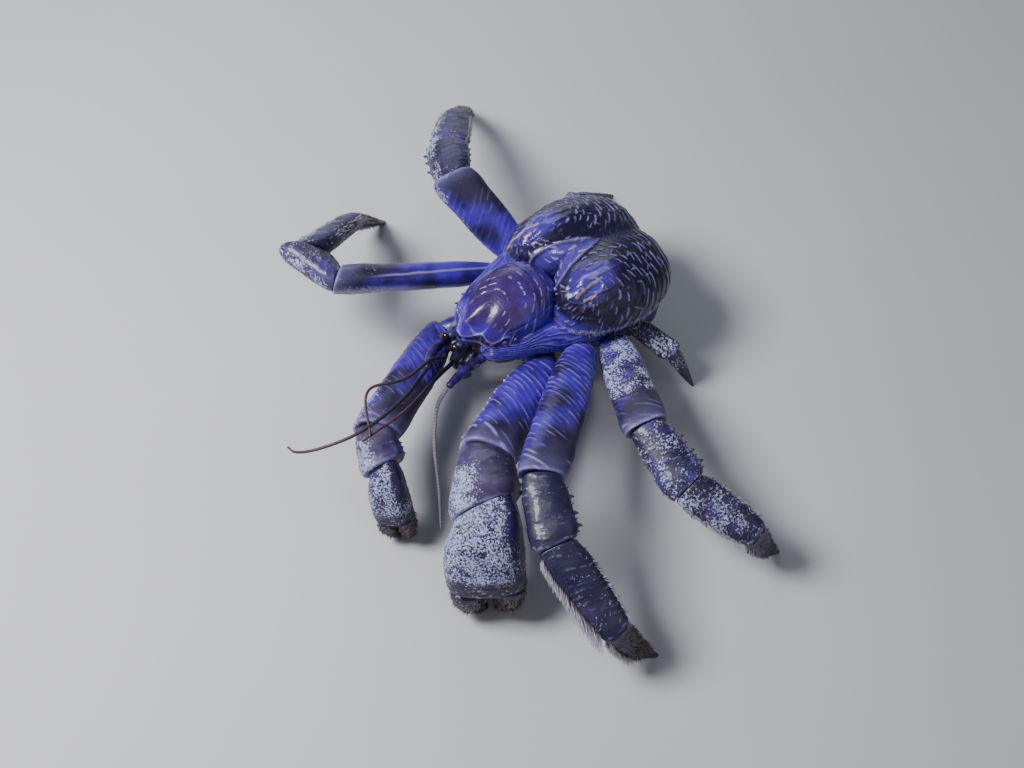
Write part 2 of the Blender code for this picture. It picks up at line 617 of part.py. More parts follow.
def build_head():
    for side, word in ((1, "left"), (-1, "right")):
        mirror = np.array([side, 1, 1])
        stalk = tube("eyestalk_" + word, mirror * ((3.6, -60.5, 57.2), (4.2, -70, 59.5), (5.2, -76, 61)),
                     (3.0, 2.8, 3.1), 10)
        cut_by(stalk, body_cutters("shield", "thorax"))
        finish(stalk, "limb", LEG, 0.4)
        globe = mirror * ((5.26, -76.3, 61.07), (5.5, -77.6, 61.4), (5.7, -79.0, 61.7), (5.9, -80.0, 62))
        eye = tube("eye_" + word, globe, (3.1, 3.3, 2.7, 1.5), 12)
        finish(eye, "eye", EYE, 0.05)
        folded = mirror * ((4.9, -54, 40), (4.9, -64, 38), (4.9, -69, 33), (4.8, -70, 26), (4.4, -67, 20),
                           (4.0, -63, 17))
        jaw = tube("maxilliped_" + word, folded, (4.2, 4.0, 3.7, 3.4, 2.6, 1.4), 10)
        cut_by(jaw, body_cutters("thorax"))
        finish(jaw, "limb", LEG, 0.5)
        stem, whip, small = ANTENNA[word]
        base = tube("antenna_base_" + word, stem, (3.6, 3.2, 3.2, 2.4), 10)
        cut_by(base, body_cutters("shield", "thorax", word))
        spike(np.array(stem[1]) + (side * 2.2, 0, 0.8), (side * 0.55, -1.0, 0.25), 7.0, 1.5)
        fuse(base)
        finish(base, "limb", LEG, 0.4)
        lash = tube("antenna_flagellum_" + word, whip, np.linspace(1.5, 0.7, len(whip)), 8)
        finish(lash, "flagellum", SOFT, 0.5)
        feeler = tube("antennule_" + word, small, np.linspace(2.0, 0.7, len(small)), 8)
        cut_by(feeler, body_cutters("shield", "thorax"))
        finish(feeler, "flagellum", SOFT, 0.5)


def stand_on_origin():
    """Moves the whole crab so that the origin is under the middle of its bounding box, on the floor."""
    meshes = [obj.data for obj in collection("coconut_crab").objects]
    corners = np.array([vertex.co for mesh in meshes for vertex in mesh.vertices])
    low, high = corners.min(0), corners.max(0)
    for mesh in meshes:
        mesh.transform(Matrix.Translation((-(low[0] + high[0]) / 2, -(low[1] + high[1]) / 2, -low[2])))
    print("size in millimetres", np.round((high - low) * 1000, 1))


def main():
    for obj in list(bpy.data.objects):
        bpy.data.objects.remove(obj)
    build_body()
    build_abdomen()
    build_limbs()
    build_head()
    stand_on_origin()


main()
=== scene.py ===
# %% [markdown]
# This lesson dresses the solids of a coconut crab model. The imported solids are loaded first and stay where
# they are. Every shell plate, claw and feeler is then worked out again as a fine surface in the same place.

# %% Load the frame
import functools
import itertools

import bpy
import numpy as np
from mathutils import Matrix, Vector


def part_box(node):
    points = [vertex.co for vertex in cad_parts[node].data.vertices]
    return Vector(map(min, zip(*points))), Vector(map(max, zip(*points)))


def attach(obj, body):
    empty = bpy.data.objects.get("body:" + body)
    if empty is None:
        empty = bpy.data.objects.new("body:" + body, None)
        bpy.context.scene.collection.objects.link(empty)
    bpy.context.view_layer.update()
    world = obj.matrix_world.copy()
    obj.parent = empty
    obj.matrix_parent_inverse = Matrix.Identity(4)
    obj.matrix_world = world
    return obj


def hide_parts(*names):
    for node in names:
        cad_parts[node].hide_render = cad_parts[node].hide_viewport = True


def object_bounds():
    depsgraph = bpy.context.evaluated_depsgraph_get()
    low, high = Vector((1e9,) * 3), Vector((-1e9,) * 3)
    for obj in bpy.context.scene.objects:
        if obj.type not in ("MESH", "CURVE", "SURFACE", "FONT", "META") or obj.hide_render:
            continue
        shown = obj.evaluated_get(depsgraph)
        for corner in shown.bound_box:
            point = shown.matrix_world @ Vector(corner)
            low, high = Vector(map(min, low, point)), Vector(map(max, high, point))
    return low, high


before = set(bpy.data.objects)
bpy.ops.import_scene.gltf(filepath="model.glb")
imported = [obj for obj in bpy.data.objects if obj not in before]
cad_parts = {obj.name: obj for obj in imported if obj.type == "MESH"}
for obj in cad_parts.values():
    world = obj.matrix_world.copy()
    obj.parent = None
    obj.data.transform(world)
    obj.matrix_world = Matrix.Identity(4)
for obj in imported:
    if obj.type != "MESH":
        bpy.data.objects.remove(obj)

cad_box = [list(corner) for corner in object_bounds()]
print("the solids span", cad_box)

# %% [markdown]
# The crab was drawn in millimetres at the size of the largest adults and scaled to a usual one. The same
# drawing is used here, so one function turns drawing points into metres in the frame. The shield plate is
# symmetric about the drawing's x = 0 and its front tip has a known y, which gives the drawing's origin.

# %% Drawing units and the way into the frame
LIFE_SCALE = 0.85
MM = 0.001 * LIFE_SCALE
SHIELD_CENTRE = np.array([0.0, -33.0])
SHIELD_HALF_WIDTH, SHIELD_HALF_LENGTH = 26.0, 33.0
SHIELD_RIM_Z, SHIELD_HEIGHT, ROSTRUM_LENGTH = 63.0, 26.0, 6.0

shield_low, shield_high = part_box("carapace_shield")
front_tip_y = SHIELD_CENTRE[1] - SHIELD_HALF_LENGTH - ROSTRUM_LENGTH
ORIGIN = np.array([(shield_low.x + shield_high.x) / 2, shield_low.y - front_tip_y * MM, 0.0])

BOX = (np.array(cad_box) - ORIGIN) / MM         # corners of the solids' box in drawing units


def place(points):
    """Drawing millimetres to metres in the frame: scaled, then shifted to the frame's origin."""
    return np.asarray(points, float) * MM + ORIGIN


print("drawing origin in the frame", ORIGIN.round(5))

# %% [markdown]
# The camera comes early, because every choice after it is judged through it. The view looks down on the
# crab from its front left. A 50 mm lens keeps the perspective of the reference view, and a roll of a few
# degrees gives the body its slant in the picture.

# %% Camera
VIEW_AZIMUTH, VIEW_ELEVATION, VIEW_ROLL = 51.0, 57.0, 5.0
LENS, SENSOR = 50.0, 36.0
IMAGE_SIZE = np.array([1024.0, 768.0])
AIM_POINT = np.array([0.0, 0.0, 92.0])      # top of the body, drawing millimetres
AIM_PIXEL = np.array([551.5, 261.0])        # where that point lies in the image
AIM_DISTANCE = 910.0


def view_axes(azimuth, elevation, roll):
    """Right, up and backward axes of a view, from its azimuth, elevation and roll in degrees."""
    a, e, r = np.radians([azimuth, elevation, roll])
    back = np.array([np.sin(a) * np.cos(e), -np.cos(a) * np.cos(e), np.sin(e)])
    right = np.array([np.cos(a), np.sin(a), 0.0])
    up = np.cross(back, right)
    return right * np.cos(r) + up * np.sin(r), up * np.cos(r) - right * np.sin(r), back



def stand(thing, right, up, back, where):
    """Links in a camera or light at a point in metres; it looks against its back axis."""
    matrix = np.eye(4)
    matrix[:3] = np.stack([right, up, back, where], 1)
    thing.matrix_world = matrix.T.tolist()
    bpy.context.scene.collection.objects.link(thing)


def add_camera():
    """A camera AIM_DISTANCE from the aim point, moved sideways until that point falls on its pixel."""
    right, up, back = view_axes(VIEW_AZIMUTH, VIEW_ELEVATION, VIEW_ROLL)
    focal_pixels = LENS / SENSOR * IMAGE_SIZE[0]
    off = (AIM_PIXEL - IMAGE_SIZE / 2) / focal_pixels * AIM_DISTANCE
    eye_point = AIM_POINT - off[0] * right + off[1] * up + AIM_DISTANCE * back
    data = bpy.data.cameras.new("camera")
    data.lens, data.sensor_width = LENS, SENSOR
    data.clip_start = 0.01
    camera = bpy.data.objects.new("camera", data)
    stand(camera, right, up, back, place(eye_point))
    bpy.context.scene.camera = camera
    print("camera at", place(eye_point).round(3))


add_camera()

# %% [markdown]
# Real shell never repeats itself, so its marks need irregular numbers that are still the same on every run.
# A random generator would depend on the order of calls. A hash of whole-number places does not: each corner
# of a grid in space has its own fixed number, and everything below is blended from those.

# %% Fixed noise
def hashed(i, j, k, seed):
    """A number from 0 to 1 for each whole-number place: mixed bits of the three numbers and the seed."""
    n = (i.astype(np.int64) * 73856093) ^ (j.astype(np.int64) * 19349663) ^ (k.astype(np.int64) * 83492791)
    n = (n ^ (seed * 26544357)) & 0x7FFFFFFF
    n = ((n ^ (n >> 13)) * 1274126177) & 0x7FFFFFFF
    n = ((n ^ (n >> 15)) * 461845907) & 0x7FFFFFFF
    return ((n ^ (n >> 16)) & 0xFFFFFF) / 0xFFFFFF


def soft(x):
    """An S-shaped ramp: 0 up to 0, 1 from 1 on, with no corner between."""
    x = np.clip(x, 0.0, 1.0)
    return x * x * (3 - 2 * x)


def noise(points, size, seed, octaves=1):
    """Cloudy values from 0 to 1: corner numbers of a grid of that size, blended by soft weights."""
    total, weight, share = 0.0, 0.0, 1.0
    for octave in range(octaves):
        place_in = np.asarray(points, float) / (size * 0.5**octave)
        corner = np.floor(place_in)
        part = soft(place_in - corner)
        value = 0.0
        for step in itertools.product((0, 1), repeat=3):
            near = np.prod(np.where(step, part, 1 - part), axis=-1)
            value = value + near * hashed(*np.moveaxis(corner + step, -1, 0), seed + octave)
        total, weight, share = total + share * value, weight + share, share * 0.5
    return total / weight


def swell(points, size, seed, octaves=1):
    """The same clouds around 0, from -0.5 to 0.5, for low swellings and drifts of colour."""
    return noise(points, size, seed, octaves) - 0.5


def flat_noise(a, b, seed):
    """Noise over two numbers instead of a point."""
    return noise(np.stack([a, b, np.zeros_like(a)], -1), 1.0, seed)


def cells(a, b, seed, wrap):
    """The distance to the nearest of scattered seeds, and that seed's own number.

    There is one seed in each unit square, and the pattern repeats in b after wrap squares.
    """
    base_a, base_b = np.floor(a), np.floor(b)
    near, label = np.full(a.shape, 9.0), np.zeros(a.shape)
    zero = np.zeros_like(a)
    for da in (-1, 0, 1):
        for db in (-1, 0, 1):
            ca, cb = base_a + da, (base_b + db) % wrap
            away = np.hypot(base_a + da + 0.15 + 0.7 * hashed(ca, cb, zero, seed) - a,
                            base_b + db + 0.15 + 0.7 * hashed(ca, cb, zero + 1, seed) - b)
            label = np.where(away < near, hashed(ca, cb, zero + 2, seed), label)
            near = np.minimum(near, away)
    return near, label


# %% [markdown]
# Every plate of the shell is a grid of points: rows along it and columns around it. One function turns such
# a grid into a closed mesh, and one raises the grid along its own normals, which is how ridges, furrows and
# granules get real relief. Masks that say where a mark is, such as a pale line, ride along as attributes.

# %% From grids to meshes
def grid_normals(grid):
    """Outward unit normals of a grid that wraps around in its columns, by differences between neighbours."""
    around = np.roll(grid, -1, 1) - np.roll(grid, 1, 1)
    onward = np.gradient(grid, axis=0)
    normal = np.cross(around, onward)
    normal /= np.linalg.norm(normal, axis=-1, keepdims=True) + 1e-12
    middle = grid.mean(1, keepdims=True)
    return normal * np.sign(np.sum(normal * (grid - middle)) + 1e-12)


def raised(grid, height):
    """The grid moved out along its own normals by height, in millimetres."""
    return grid + grid_normals(grid) * height[..., None]


def closed_parts(grid):
    """Points and faces of a closed form over a wrapping grid: quads, and a fan of triangles at each end."""
    rows, columns = grid.shape[:2]
    points = np.concatenate([grid.reshape(-1, 3), grid[:1].mean(1), grid[-1:].mean(1)])
    r, c = np.meshgrid(np.arange(rows - 1), np.arange(columns), indexing="ij")
    here, beside = (r * columns + c).ravel(), (r * columns + (c + 1) % columns).ravel()
    quads = np.stack([here, beside, beside + columns, here + columns], 1)
    ring = np.arange(columns)
    first = np.stack([np.full(columns, rows * columns), (ring + 1) % columns, ring], 1)
    last = np.stack([np.full(columns, rows * columns + 1), ring, (ring + 1) % columns], 1)
    last[:, 1:] += (rows - 1) * columns
    half = rows // 2
    outward = np.cross(grid[half, 1] - grid[half, 0], grid[half + 1, 0] - grid[half, 0])
    order = -1 if outward @ (grid[half, 0] - grid[half].mean(0)) < 0 else 1
    return points, quads[:, ::order], np.concatenate([first, last])[:, ::order]


def mesh_of(name, points, *face_sets):
    """A smooth-shaded mesh from drawing points, held in the solids' box, and arrays of faces."""
    mesh = bpy.data.meshes.new(name)
    corners = np.concatenate([faces.ravel() for faces in face_sets])
    counts = np.concatenate([np.full(len(faces), faces.shape[1]) for faces in face_sets])
    mesh.vertices.add(len(points))
    mesh.vertices.foreach_set("co", place(np.clip(points, *BOX)).astype(np.float32).ravel())
    mesh.loops.add(len(corners))
    mesh.loops.foreach_set("vertex_index", corners.astype(np.int32))
    mesh.polygons.add(len(counts))
    mesh.polygons.foreach_set("loop_start", (np.cumsum(counts) - counts).astype(np.int32))
    mesh.update(calc_edges=True)
    mesh.shade_smooth()
    return mesh


def closed_mesh(name, grid, marks):
    """A closed mesh over a wrapping grid in drawing millimetres, with its masks as attributes."""
    mesh = mesh_of(name, *closed_parts(grid))
    for key, values in marks.items():
        values = np.broadcast_to(values, grid.shape[:2])
        ends = [values[0].mean(), values[-1].mean()]
        layer = mesh.attributes.new(key, "FLOAT", "POINT")
        layer.data.foreach_set("value", np.append(values, ends).astype(np.float32))
    return mesh


PIECES = {}


def add_piece(name, mesh, material, slot, *nodes):
    """A visible piece of the crab that stands for the named solids."""
    piece = bpy.data.objects.new(name, mesh)
    bpy.context.scene.collection.objects.link(piece)
    mesh.materials.append(material)
    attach(piece, "root")
    if nodes:
        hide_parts(*nodes)
    PIECES[name] = sum(len(face.vertices) - 2 for face in mesh.polygons)
    return piece


def dress(name, grid, marks, material, slot, node):
    """A closed piece over a grid, in the place of one solid."""
    add_piece(name, closed_mesh(name, grid, marks), material, slot, node)


# %% [markdown]
# Shader maths reads best as plain expressions. A small class wraps a socket of the node tree, so that adding
# two of them adds a Math node. Everything else comes from one method that makes a node, sets its options
# first and then its inputs.

# %% Shader expressions
class Wire:
    """A number flowing through a material; arithmetic on it adds Math nodes."""

    def __init__(self, shader, socket):
        self.shader, self.socket = shader, socket

    def maths(self, operation, *others):
        values = dict(enumerate((self, *others)))
        return self.shader.node("ShaderNodeMath", {"operation": operation}, values)

    def __add__(self, other):
        return self.maths("ADD", other)

    __radd__ = __add__

    def __mul__(self, other):
        return self.maths("MULTIPLY", other)

    __rmul__ = __mul__

    def __sub__(self, other):
        return self.maths("SUBTRACT", other)

    def __rsub__(self, other):
        return self.shader.node("ShaderNodeMath", {"operation": "SUBTRACT"}, {0: other, 1: self})

    def ramp(self, low, high):
        """0 at low, 1 at high, with soft ends."""
        sockets = {"Value": self, "From Min": low, "From Max": high}
        return self.shader.node("ShaderNodeMapRange", {"interpolation_type": "SMOOTHSTEP"}, sockets)


class Shader:
    """A material on one Principled BSDF, its patterns read in Object coordinates or from attributes."""

    def __init__(self, name, **constants):
        self.material = bpy.data.materials.new(name)
        self.material.use_nodes = True
        self.tree = self.material.node_tree
        self.surface = self.tree.nodes["Principled BSDF"]
        self.where = self.node("ShaderNodeTexCoord", output="Object")
        for key, value in constants.items():
            self.surface.inputs[key.replace("_", " ").title().replace("Ior", "IOR")].default_value = value

    def node(self, kind, settings=None, sockets=None, output=0):
        """A new node: its settings, then a value or link for each named or numbered socket."""
        made = self.tree.nodes.new(kind)
        for key, value in (settings or {}).items():
            setattr(made, key, value)
        for key, value in (sockets or {}).items():
            self.feed(made.inputs[key], value)
        return Wire(self, made.outputs[output])

    def feed(self, socket, value):
        """Links a wire to a socket, or sets the socket's value; a colour gets its alpha of 1."""
        if isinstance(value, Wire):
            self.tree.links.new(value.socket, socket)
        elif isinstance(value, tuple) and socket.type == "RGBA":
            socket.default_value = (*value, 1.0)
        else:
            socket.default_value = value

    def mark(self, name):
        """The mask of that name painted on the mesh."""
        return self.node("ShaderNodeAttribute", {"attribute_name": name}, output="Fac")

    def clouds(self, size, detail=2.0, rough=0.5, twist=0.0):
        """Noise whose lumps are about size metres across."""
        sockets = {"Vector": self.where, "Scale": 1 / size, "Detail": detail, "Roughness": rough,
                   "Distortion": twist}
        return self.node("ShaderNodeTexNoise", None, sockets, "Fac")

    def mix(self, factor, a, b):
        """Colour a where factor is 0 and colour b where it is 1."""
        return self.node("ShaderNodeMix", {"data_type": "RGBA"}, {0: factor, 6: a, 7: b}, 2)

    def bump(self, height, distance, strength=1.0, under=None):
        """A normal tilted by the slope of height, which stands for a relief of distance metres."""
        sockets = {"Height": height, "Distance": distance, "Strength": strength}
        if under is not None:
            sockets["Normal"] = under
        return self.node("ShaderNodeBump", None, sockets)

    def finish(self, colour, roughness, normal=None, coat=None):
        self.feed(self.surface.inputs["Base Color"], colour)
        self.feed(self.surface.inputs["Roughness"], roughness)
        if normal is not None:
            self.feed(self.surface.inputs["Normal"], normal)
        if coat is not None:
            self.feed(self.surface.inputs["Coat Weight"], coat)
        return self.material


# %% [markdown]
# A coconut crab's shell is coloured in layers. This one is a deep violet blue that turns
# purple brown on the shield and slate grey on the far lengths and the hands. Raised lines are worn pale, old
# scars are cream, and the far ends of the limbs carry a dry, chalky scurf with rusty grains on the fingers.
# One recipe mixes these layers from painted masks named brown, shade, pale, cream, dust and rust, and each
# kind of piece gets its own colours and grain.

# %% Shell finishes
BLUE = (0.062, 0.022, 0.44)
DEEP_BLUE = (0.011, 0.007, 0.040)
PLUM = (0.054, 0.022, 0.135)
SLATE = (0.040, 0.029, 0.066)
NIGHT = (0.010, 0.007, 0.024)
PALE = (0.27, 0.24, 0.56)
CREAM = (0.34, 0.27, 0.26)
CHALK = (0.25, 0.28, 0.52)
WHITE_CHALK = (0.56, 0.58, 0.76)
RUST = (0.20, 0.10, 0.06)


def shell_finish(name, blue, brown, roughness, grain, dust_size=0.0012):
    """Layered shell: blue to brown by one mask, darker in clouds, pale on the lines, chalk where dust lies.

    The dust mark is the share of the surface that scurf covers: specks and patches of noise, spread over 0
    to 1, show where they exceed what is left of 1.
    """
    shader = Shader(name, ior=1.5)
    drift = shader.clouds(0.011, 3.0, 0.6)
    fine = shader.clouds(grain, 4.0, 0.65)
    body = shader.mix((shader.mark("brown") + (drift - 0.5) * 0.6).ramp(0.1, 0.9), blue, brown)
    body = shader.mix((drift * 1.6 - 0.5 + shader.mark("shade")).ramp(0.0, 1.0), body, DEEP_BLUE)
    body = shader.mix((shader.mark("pale") * (fine * 0.9 + 0.5)).ramp(0.05, 1.0), body, PALE)
    body = shader.mix((shader.mark("cream") * (fine + 0.5)).ramp(0.2, 0.8), body, CREAM)
    specks = shader.clouds(dust_size, 5.0, 0.72)
    spread = specks.ramp(0.28, 0.72) * 0.76 + shader.clouds(0.007, 3.0, 0.6).ramp(0.3, 0.7) * 0.24
    dust = (spread + shader.mark("dust") - 1.0).ramp(0.0, 0.10)
    rusty = (shader.mark("rust") * (fine * 0.8 + 0.6)).ramp(0.2, 0.9)
    scurf = shader.mix(specks.ramp(0.42, 0.66), CHALK, WHITE_CHALK)
    body = shader.mix(dust * (fine * 0.5 + 0.62), body, shader.mix(rusty, scurf, RUST))
    sheen = roughness + dust * 0.42 + (fine - 0.5) * 0.18 + shader.mark("brown") * 0.08
    relief = shader.bump(fine, 0.00020, 0.6)
    relief = shader.bump(dust * (specks + 0.3), 0.00030, 0.8, relief)
    return shader.finish(body, sheen, relief, (1.0 - dust) * (0.32 - shader.mark("brown") * 0.16))


shield_shell = shell_finish("shield_shell", BLUE, PLUM, 0.20, 0.0011)
rear_shell = shell_finish("rear_shell", (0.060, 0.034, 0.30), NIGHT, 0.22, 0.0012)
limb_shell = shell_finish("limb_shell", BLUE, SLATE, 0.40, 0.0009)
wrist_shell = shell_finish("wrist_shell", (0.034, 0.018, 0.20), (0.066, 0.047, 0.084), 0.34, 0.0009)
hand_shell = shell_finish("hand_shell", (0.026, 0.020, 0.13), (0.044, 0.028, 0.072), 0.34, 0.0008, 0.0010)


def leather_finish(name, light, dark, size):
    """Soft skin between plates and under the body: leathery wrinkles, dull with a slight sheen."""
    shader = Shader(name, ior=1.42)
    folds = shader.clouds(size, 4.0, 0.6, 2.0)
    colour = shader.mix(folds.ramp(0.3, 0.7), dark, light)
    return shader.finish(colour, 0.5 + folds * 0.25, shader.bump(folds, 0.0005, 0.8))


def eye_finish():
    """A wet black cornea with the faint net of its facets."""
    shader = Shader("black_eye", ior=1.45, coat_roughness=0.02)
    facets = shader.node("ShaderNodeTexVoronoi", None, {"Vector": shader.where, "Scale": 5200.0}, "Distance")
    colour = shader.mix(shader.clouds(0.003).ramp(0.4, 0.8), (0.004, 0.003, 0.006), (0.03, 0.012, 0.02))
    return shader.finish(colour, 0.06 + facets * 0.05, shader.bump(facets, 0.00003, 0.3), 0.8)


def feeler_finish():
    """Thin jointed feelers: dark wine with darker rings, redder toward the tip, and chalky where dusty."""
    shader = Shader("feeler_shell", ior=1.5)
    grain = shader.clouds(0.0008, 2.0)
    colour = shader.mix(shader.mark("tip").ramp(0.3, 1.0), (0.022, 0.012, 0.028), (0.070, 0.028, 0.034))
    colour = shader.mix((shader.mark("dust") * (grain + 0.4)).ramp(0.2, 0.8), colour, (0.36, 0.33, 0.38))
    colour = shader.mix(shader.mark("ring") * 0.7, colour, (0.012, 0.006, 0.014))
    return shader.finish(colour, 0.34 + grain * 0.2, shader.bump(grain, 0.0001))


def bristle_finish(name, root, tip):
    """Stiff hairs and thorns, of one colour at the root and another at the tip."""
    shader = Shader(name, ior=1.45)
    blend = shader.mark("tip") + (shader.clouds(0.002) - 0.5) * 0.3
    return shader.finish(shader.mix(blend.ramp(0.0, 0.8), root, tip), 0.4 + shader.clouds(0.001) * 0.2)


joint_skin = leather_finish("joint_skin", (0.12, 0.06, 0.12), (0.02, 0.012, 0.03), 0.0016)
belly_skin = leather_finish("belly_skin", (0.13, 0.07, 0.12), (0.03, 0.018, 0.05), 0.003)
black_eye = eye_finish()
feeler_shell = feeler_finish()
pale_bristle = bristle_finish("pale_bristle", (0.14, 0.11, 0.14), (0.60, 0.57, 0.64))
rusty_bristle = bristle_finish("rusty_bristle", (0.035, 0.020, 0.018), (0.19, 0.12, 0.085))
thorn_horn = bristle_finish("thorn_horn", (0.13, 0.10, 0.24), (0.016, 0.010, 0.018))
# knob_shell grows pale toward the tips of the knobs and claw teeth. The pale is partly worn shell and partly
# a painted highlight.
knob_shell = bristle_finish("knob_shell", (0.14, 0.12, 0.30), (0.52, 0.50, 0.62))
print("finishes:", len(bpy.data.materials))

# %% [markdown]
# The same few rules that shaped the solids shape the fine pieces: a smooth curve through stations, a rounded
# rectangle swept along a limb, and domes for the two carapace plates. Only the grids are finer here.

# %% Curves and sections
def smooth_interp(x, xs, ys, steady=False):
    """A curve through the points (xs, ys) with a continuous slope, read at x; a steady one never overshoots.

    Between two points it is a cubic with given end slopes. The slope at a point is that of its neighbours'
    chord, or, in a steady curve, the harmonic mean of the two chords beside it, and 0 at a high or low point.
    """
    xs, ys = np.asarray(xs, float), np.asarray(ys, float)
    slope = np.gradient(ys, xs)
    if steady:
        chord = np.diff(ys) / np.diff(xs)
        product, total = chord[:-1] * chord[1:], chord[:-1] + chord[1:]
        slope[1:-1] = np.where(product > 0, 2 * product / np.where(total == 0, 1, total), 0)
        slope[0], slope[-1] = chord[0], chord[-1]
    x = np.clip(x, xs[0], xs[-1])
    i = np.clip(np.searchsorted(xs, x, side="right") - 1, 0, len(xs) - 2)
    width = xs[i + 1] - xs[i]
    t = (x - xs[i]) / width
    return ((2 * t**3 - 3 * t**2 + 1) * ys[i] + (t**3 - 2 * t**2 + t) * width * slope[i]
            + (3 * t**2 - 2 * t**3) * ys[i + 1] + (t**3 - t**2) * width * slope[i + 1])


def unit(vector):
    return np.asarray(vector, float) / np.linalg.norm(vector)


def unit_rows(ways):
    return ways / np.linalg.norm(ways, axis=-1, keepdims=True)


def hump(x, middle, width):
    """A smooth hump of height 1 at middle."""
    return np.exp(-((x - middle) / width) ** 2)


def turns(columns):
    return np.linspace(0, 2 * np.pi, columns, endpoint=False)


def striae(rows, cross, spacing, dash, seed, width, fill, bow=0.2, slant=0.0, wander=0.35, wrap=None):
    """Short raised lines in rows: rows and cross are millimetres along and across the rows.

    The rows wander by noise. Each is cut into dashes, a hashed share of which stay. A dash bows so that its
    ends trail behind its middle, leans by slant, and thins toward its ends. With wrap, a whole number of
    dashes fits into that distance across. Returns 1 on a line and 0 off it.
    """
    row = rows / spacing + wander * 2 * (flat_noise(rows / (3 * spacing), cross / 16.0, seed) - 0.5)
    k = np.floor(row)
    zero = np.zeros_like(k)
    step = (dash(k * spacing) if callable(dash) else dash) * (0.65 + 0.7 * hashed(k, zero, zero, seed + 1))
    count = 1e6 if wrap is None else np.maximum(np.round(wrap / step), 1)
    step = step if wrap is None else wrap / count
    dashes = cross / step + 7 * hashed(k, zero + 1, zero, seed + 2)
    d = np.floor(dashes)
    across = 2 * (dashes - d) - 1
    d = d % count
    keep = soft((fill - hashed(k, d, zero, seed + 3)) * 6 + 0.5)
    ends = soft((1 - np.abs(across)) * 2.5)
    middle = 0.42 + 0.16 * hashed(k, d, zero + 1, seed + 4) + bow * (across**2 - 0.3) + slant * across
    thin = width * (0.5 + 0.5 * ends) * (0.7 + 0.6 * hashed(k, d, zero + 2, seed + 5))
    return np.exp(-((row - k - middle) / thin) ** 2) * ends * keep


# %% [markdown]
# The shield is the smooth brown dome behind the eyes. Its pale lines are short crescents set in rings round
# a spot near its front; toward the margins they run together into long arcs, and the brown gives way to
# blue. A dome is a function of two parameters: phi goes round it and t runs from its top to its rim.

# %% Front shield
UNDER_ROWS = 8                  # rows of a dome's grid that turn in below its rim
UNDER_SHARE = 0.16              # how far they draw in


def outline_radius(phi, half_width, half_length, power):
    """Reach of a rounded rectangle in the direction phi, measured from straight ahead."""
    return ((np.abs(np.sin(phi)) / half_width) ** power
            + (np.abs(np.cos(phi)) / half_length) ** power) ** (-1 / power)


def from_ahead(phi):
    """The angle between the direction phi and straight ahead, on either side."""
    return np.abs((phi + np.pi) % (2 * np.pi) - np.pi)


def shield_point(phi, t):
    """A point of the smooth shield: outline times a rounded profile, lifted by a rounded crown."""
    ahead = from_ahead(phi)
    reach = (outline_radius(phi, SHIELD_HALF_WIDTH, SHIELD_HALF_LENGTH, 2.3)
             + ROSTRUM_LENGTH * hump(ahead, 0, 0.16) - 1.6 * hump(ahead, 0.36, 0.12))
    rho, lift = np.sin(t) ** (2 / 2.5), np.cos(t) ** (2 / 2.5)
    x = SHIELD_CENTRE[0] + reach * rho * np.sin(phi)
    y = SHIELD_CENTRE[1] - reach * rho * np.cos(phi)
    along = (y - SHIELD_CENTRE[1]) / SHIELD_HALF_LENGTH
    furrow = (2.0 * hump(np.abs(x), 17, 4) * hump(along, -0.55, 0.3)
              + 1.3 * hump(along, 0.52 - 0.25 * (x / 26) ** 2, 0.07))
    rim = SHIELD_RIM_Z + 3.0 * along
    return np.stack([x, y, rim + (SHIELD_HEIGHT + 2.5 * along - furrow) * lift], -1)


def dome_grid(point, rows, columns, drop):
    """Rows of a dome from a drawn-in underside, round the rim, up to the top, and their angles."""
    phi, t = np.meshgrid(turns(columns), np.radians(np.linspace(90, 0.6, rows)))
    upper = point(phi, t)
    rim, centre = upper[0], upper[0].mean(0)
    turn_in = np.linspace(1, 0, UNDER_ROWS, endpoint=False)[:, None, None]
    drawn_in = (rim - centre) * (1 - UNDER_SHARE * turn_in * (1, 1, 0))
    lower = centre + drawn_in - drop * turn_in**0.6 * (0, 0, 1)
    grid = np.concatenate([lower, upper])
    phi = np.broadcast_to(turns(columns), grid.shape[:2])
    return grid, phi, np.concatenate([np.full((UNDER_ROWS, columns), np.pi / 2), t])


CREST_SPOT = np.array([3.0, -52.0])         # the crescents of the shield ring round this spot
CRESCENT, CRESCENT_SPACING = 5.0, 4.8
ARC, ARC_SPACING = 24.0, 4.0


def shield_dash(length):
    """The angle that a dash of that length takes round the spot, as a function of the ring it is on."""
    return lambda ring: length / np.maximum(ring + 3, 6)


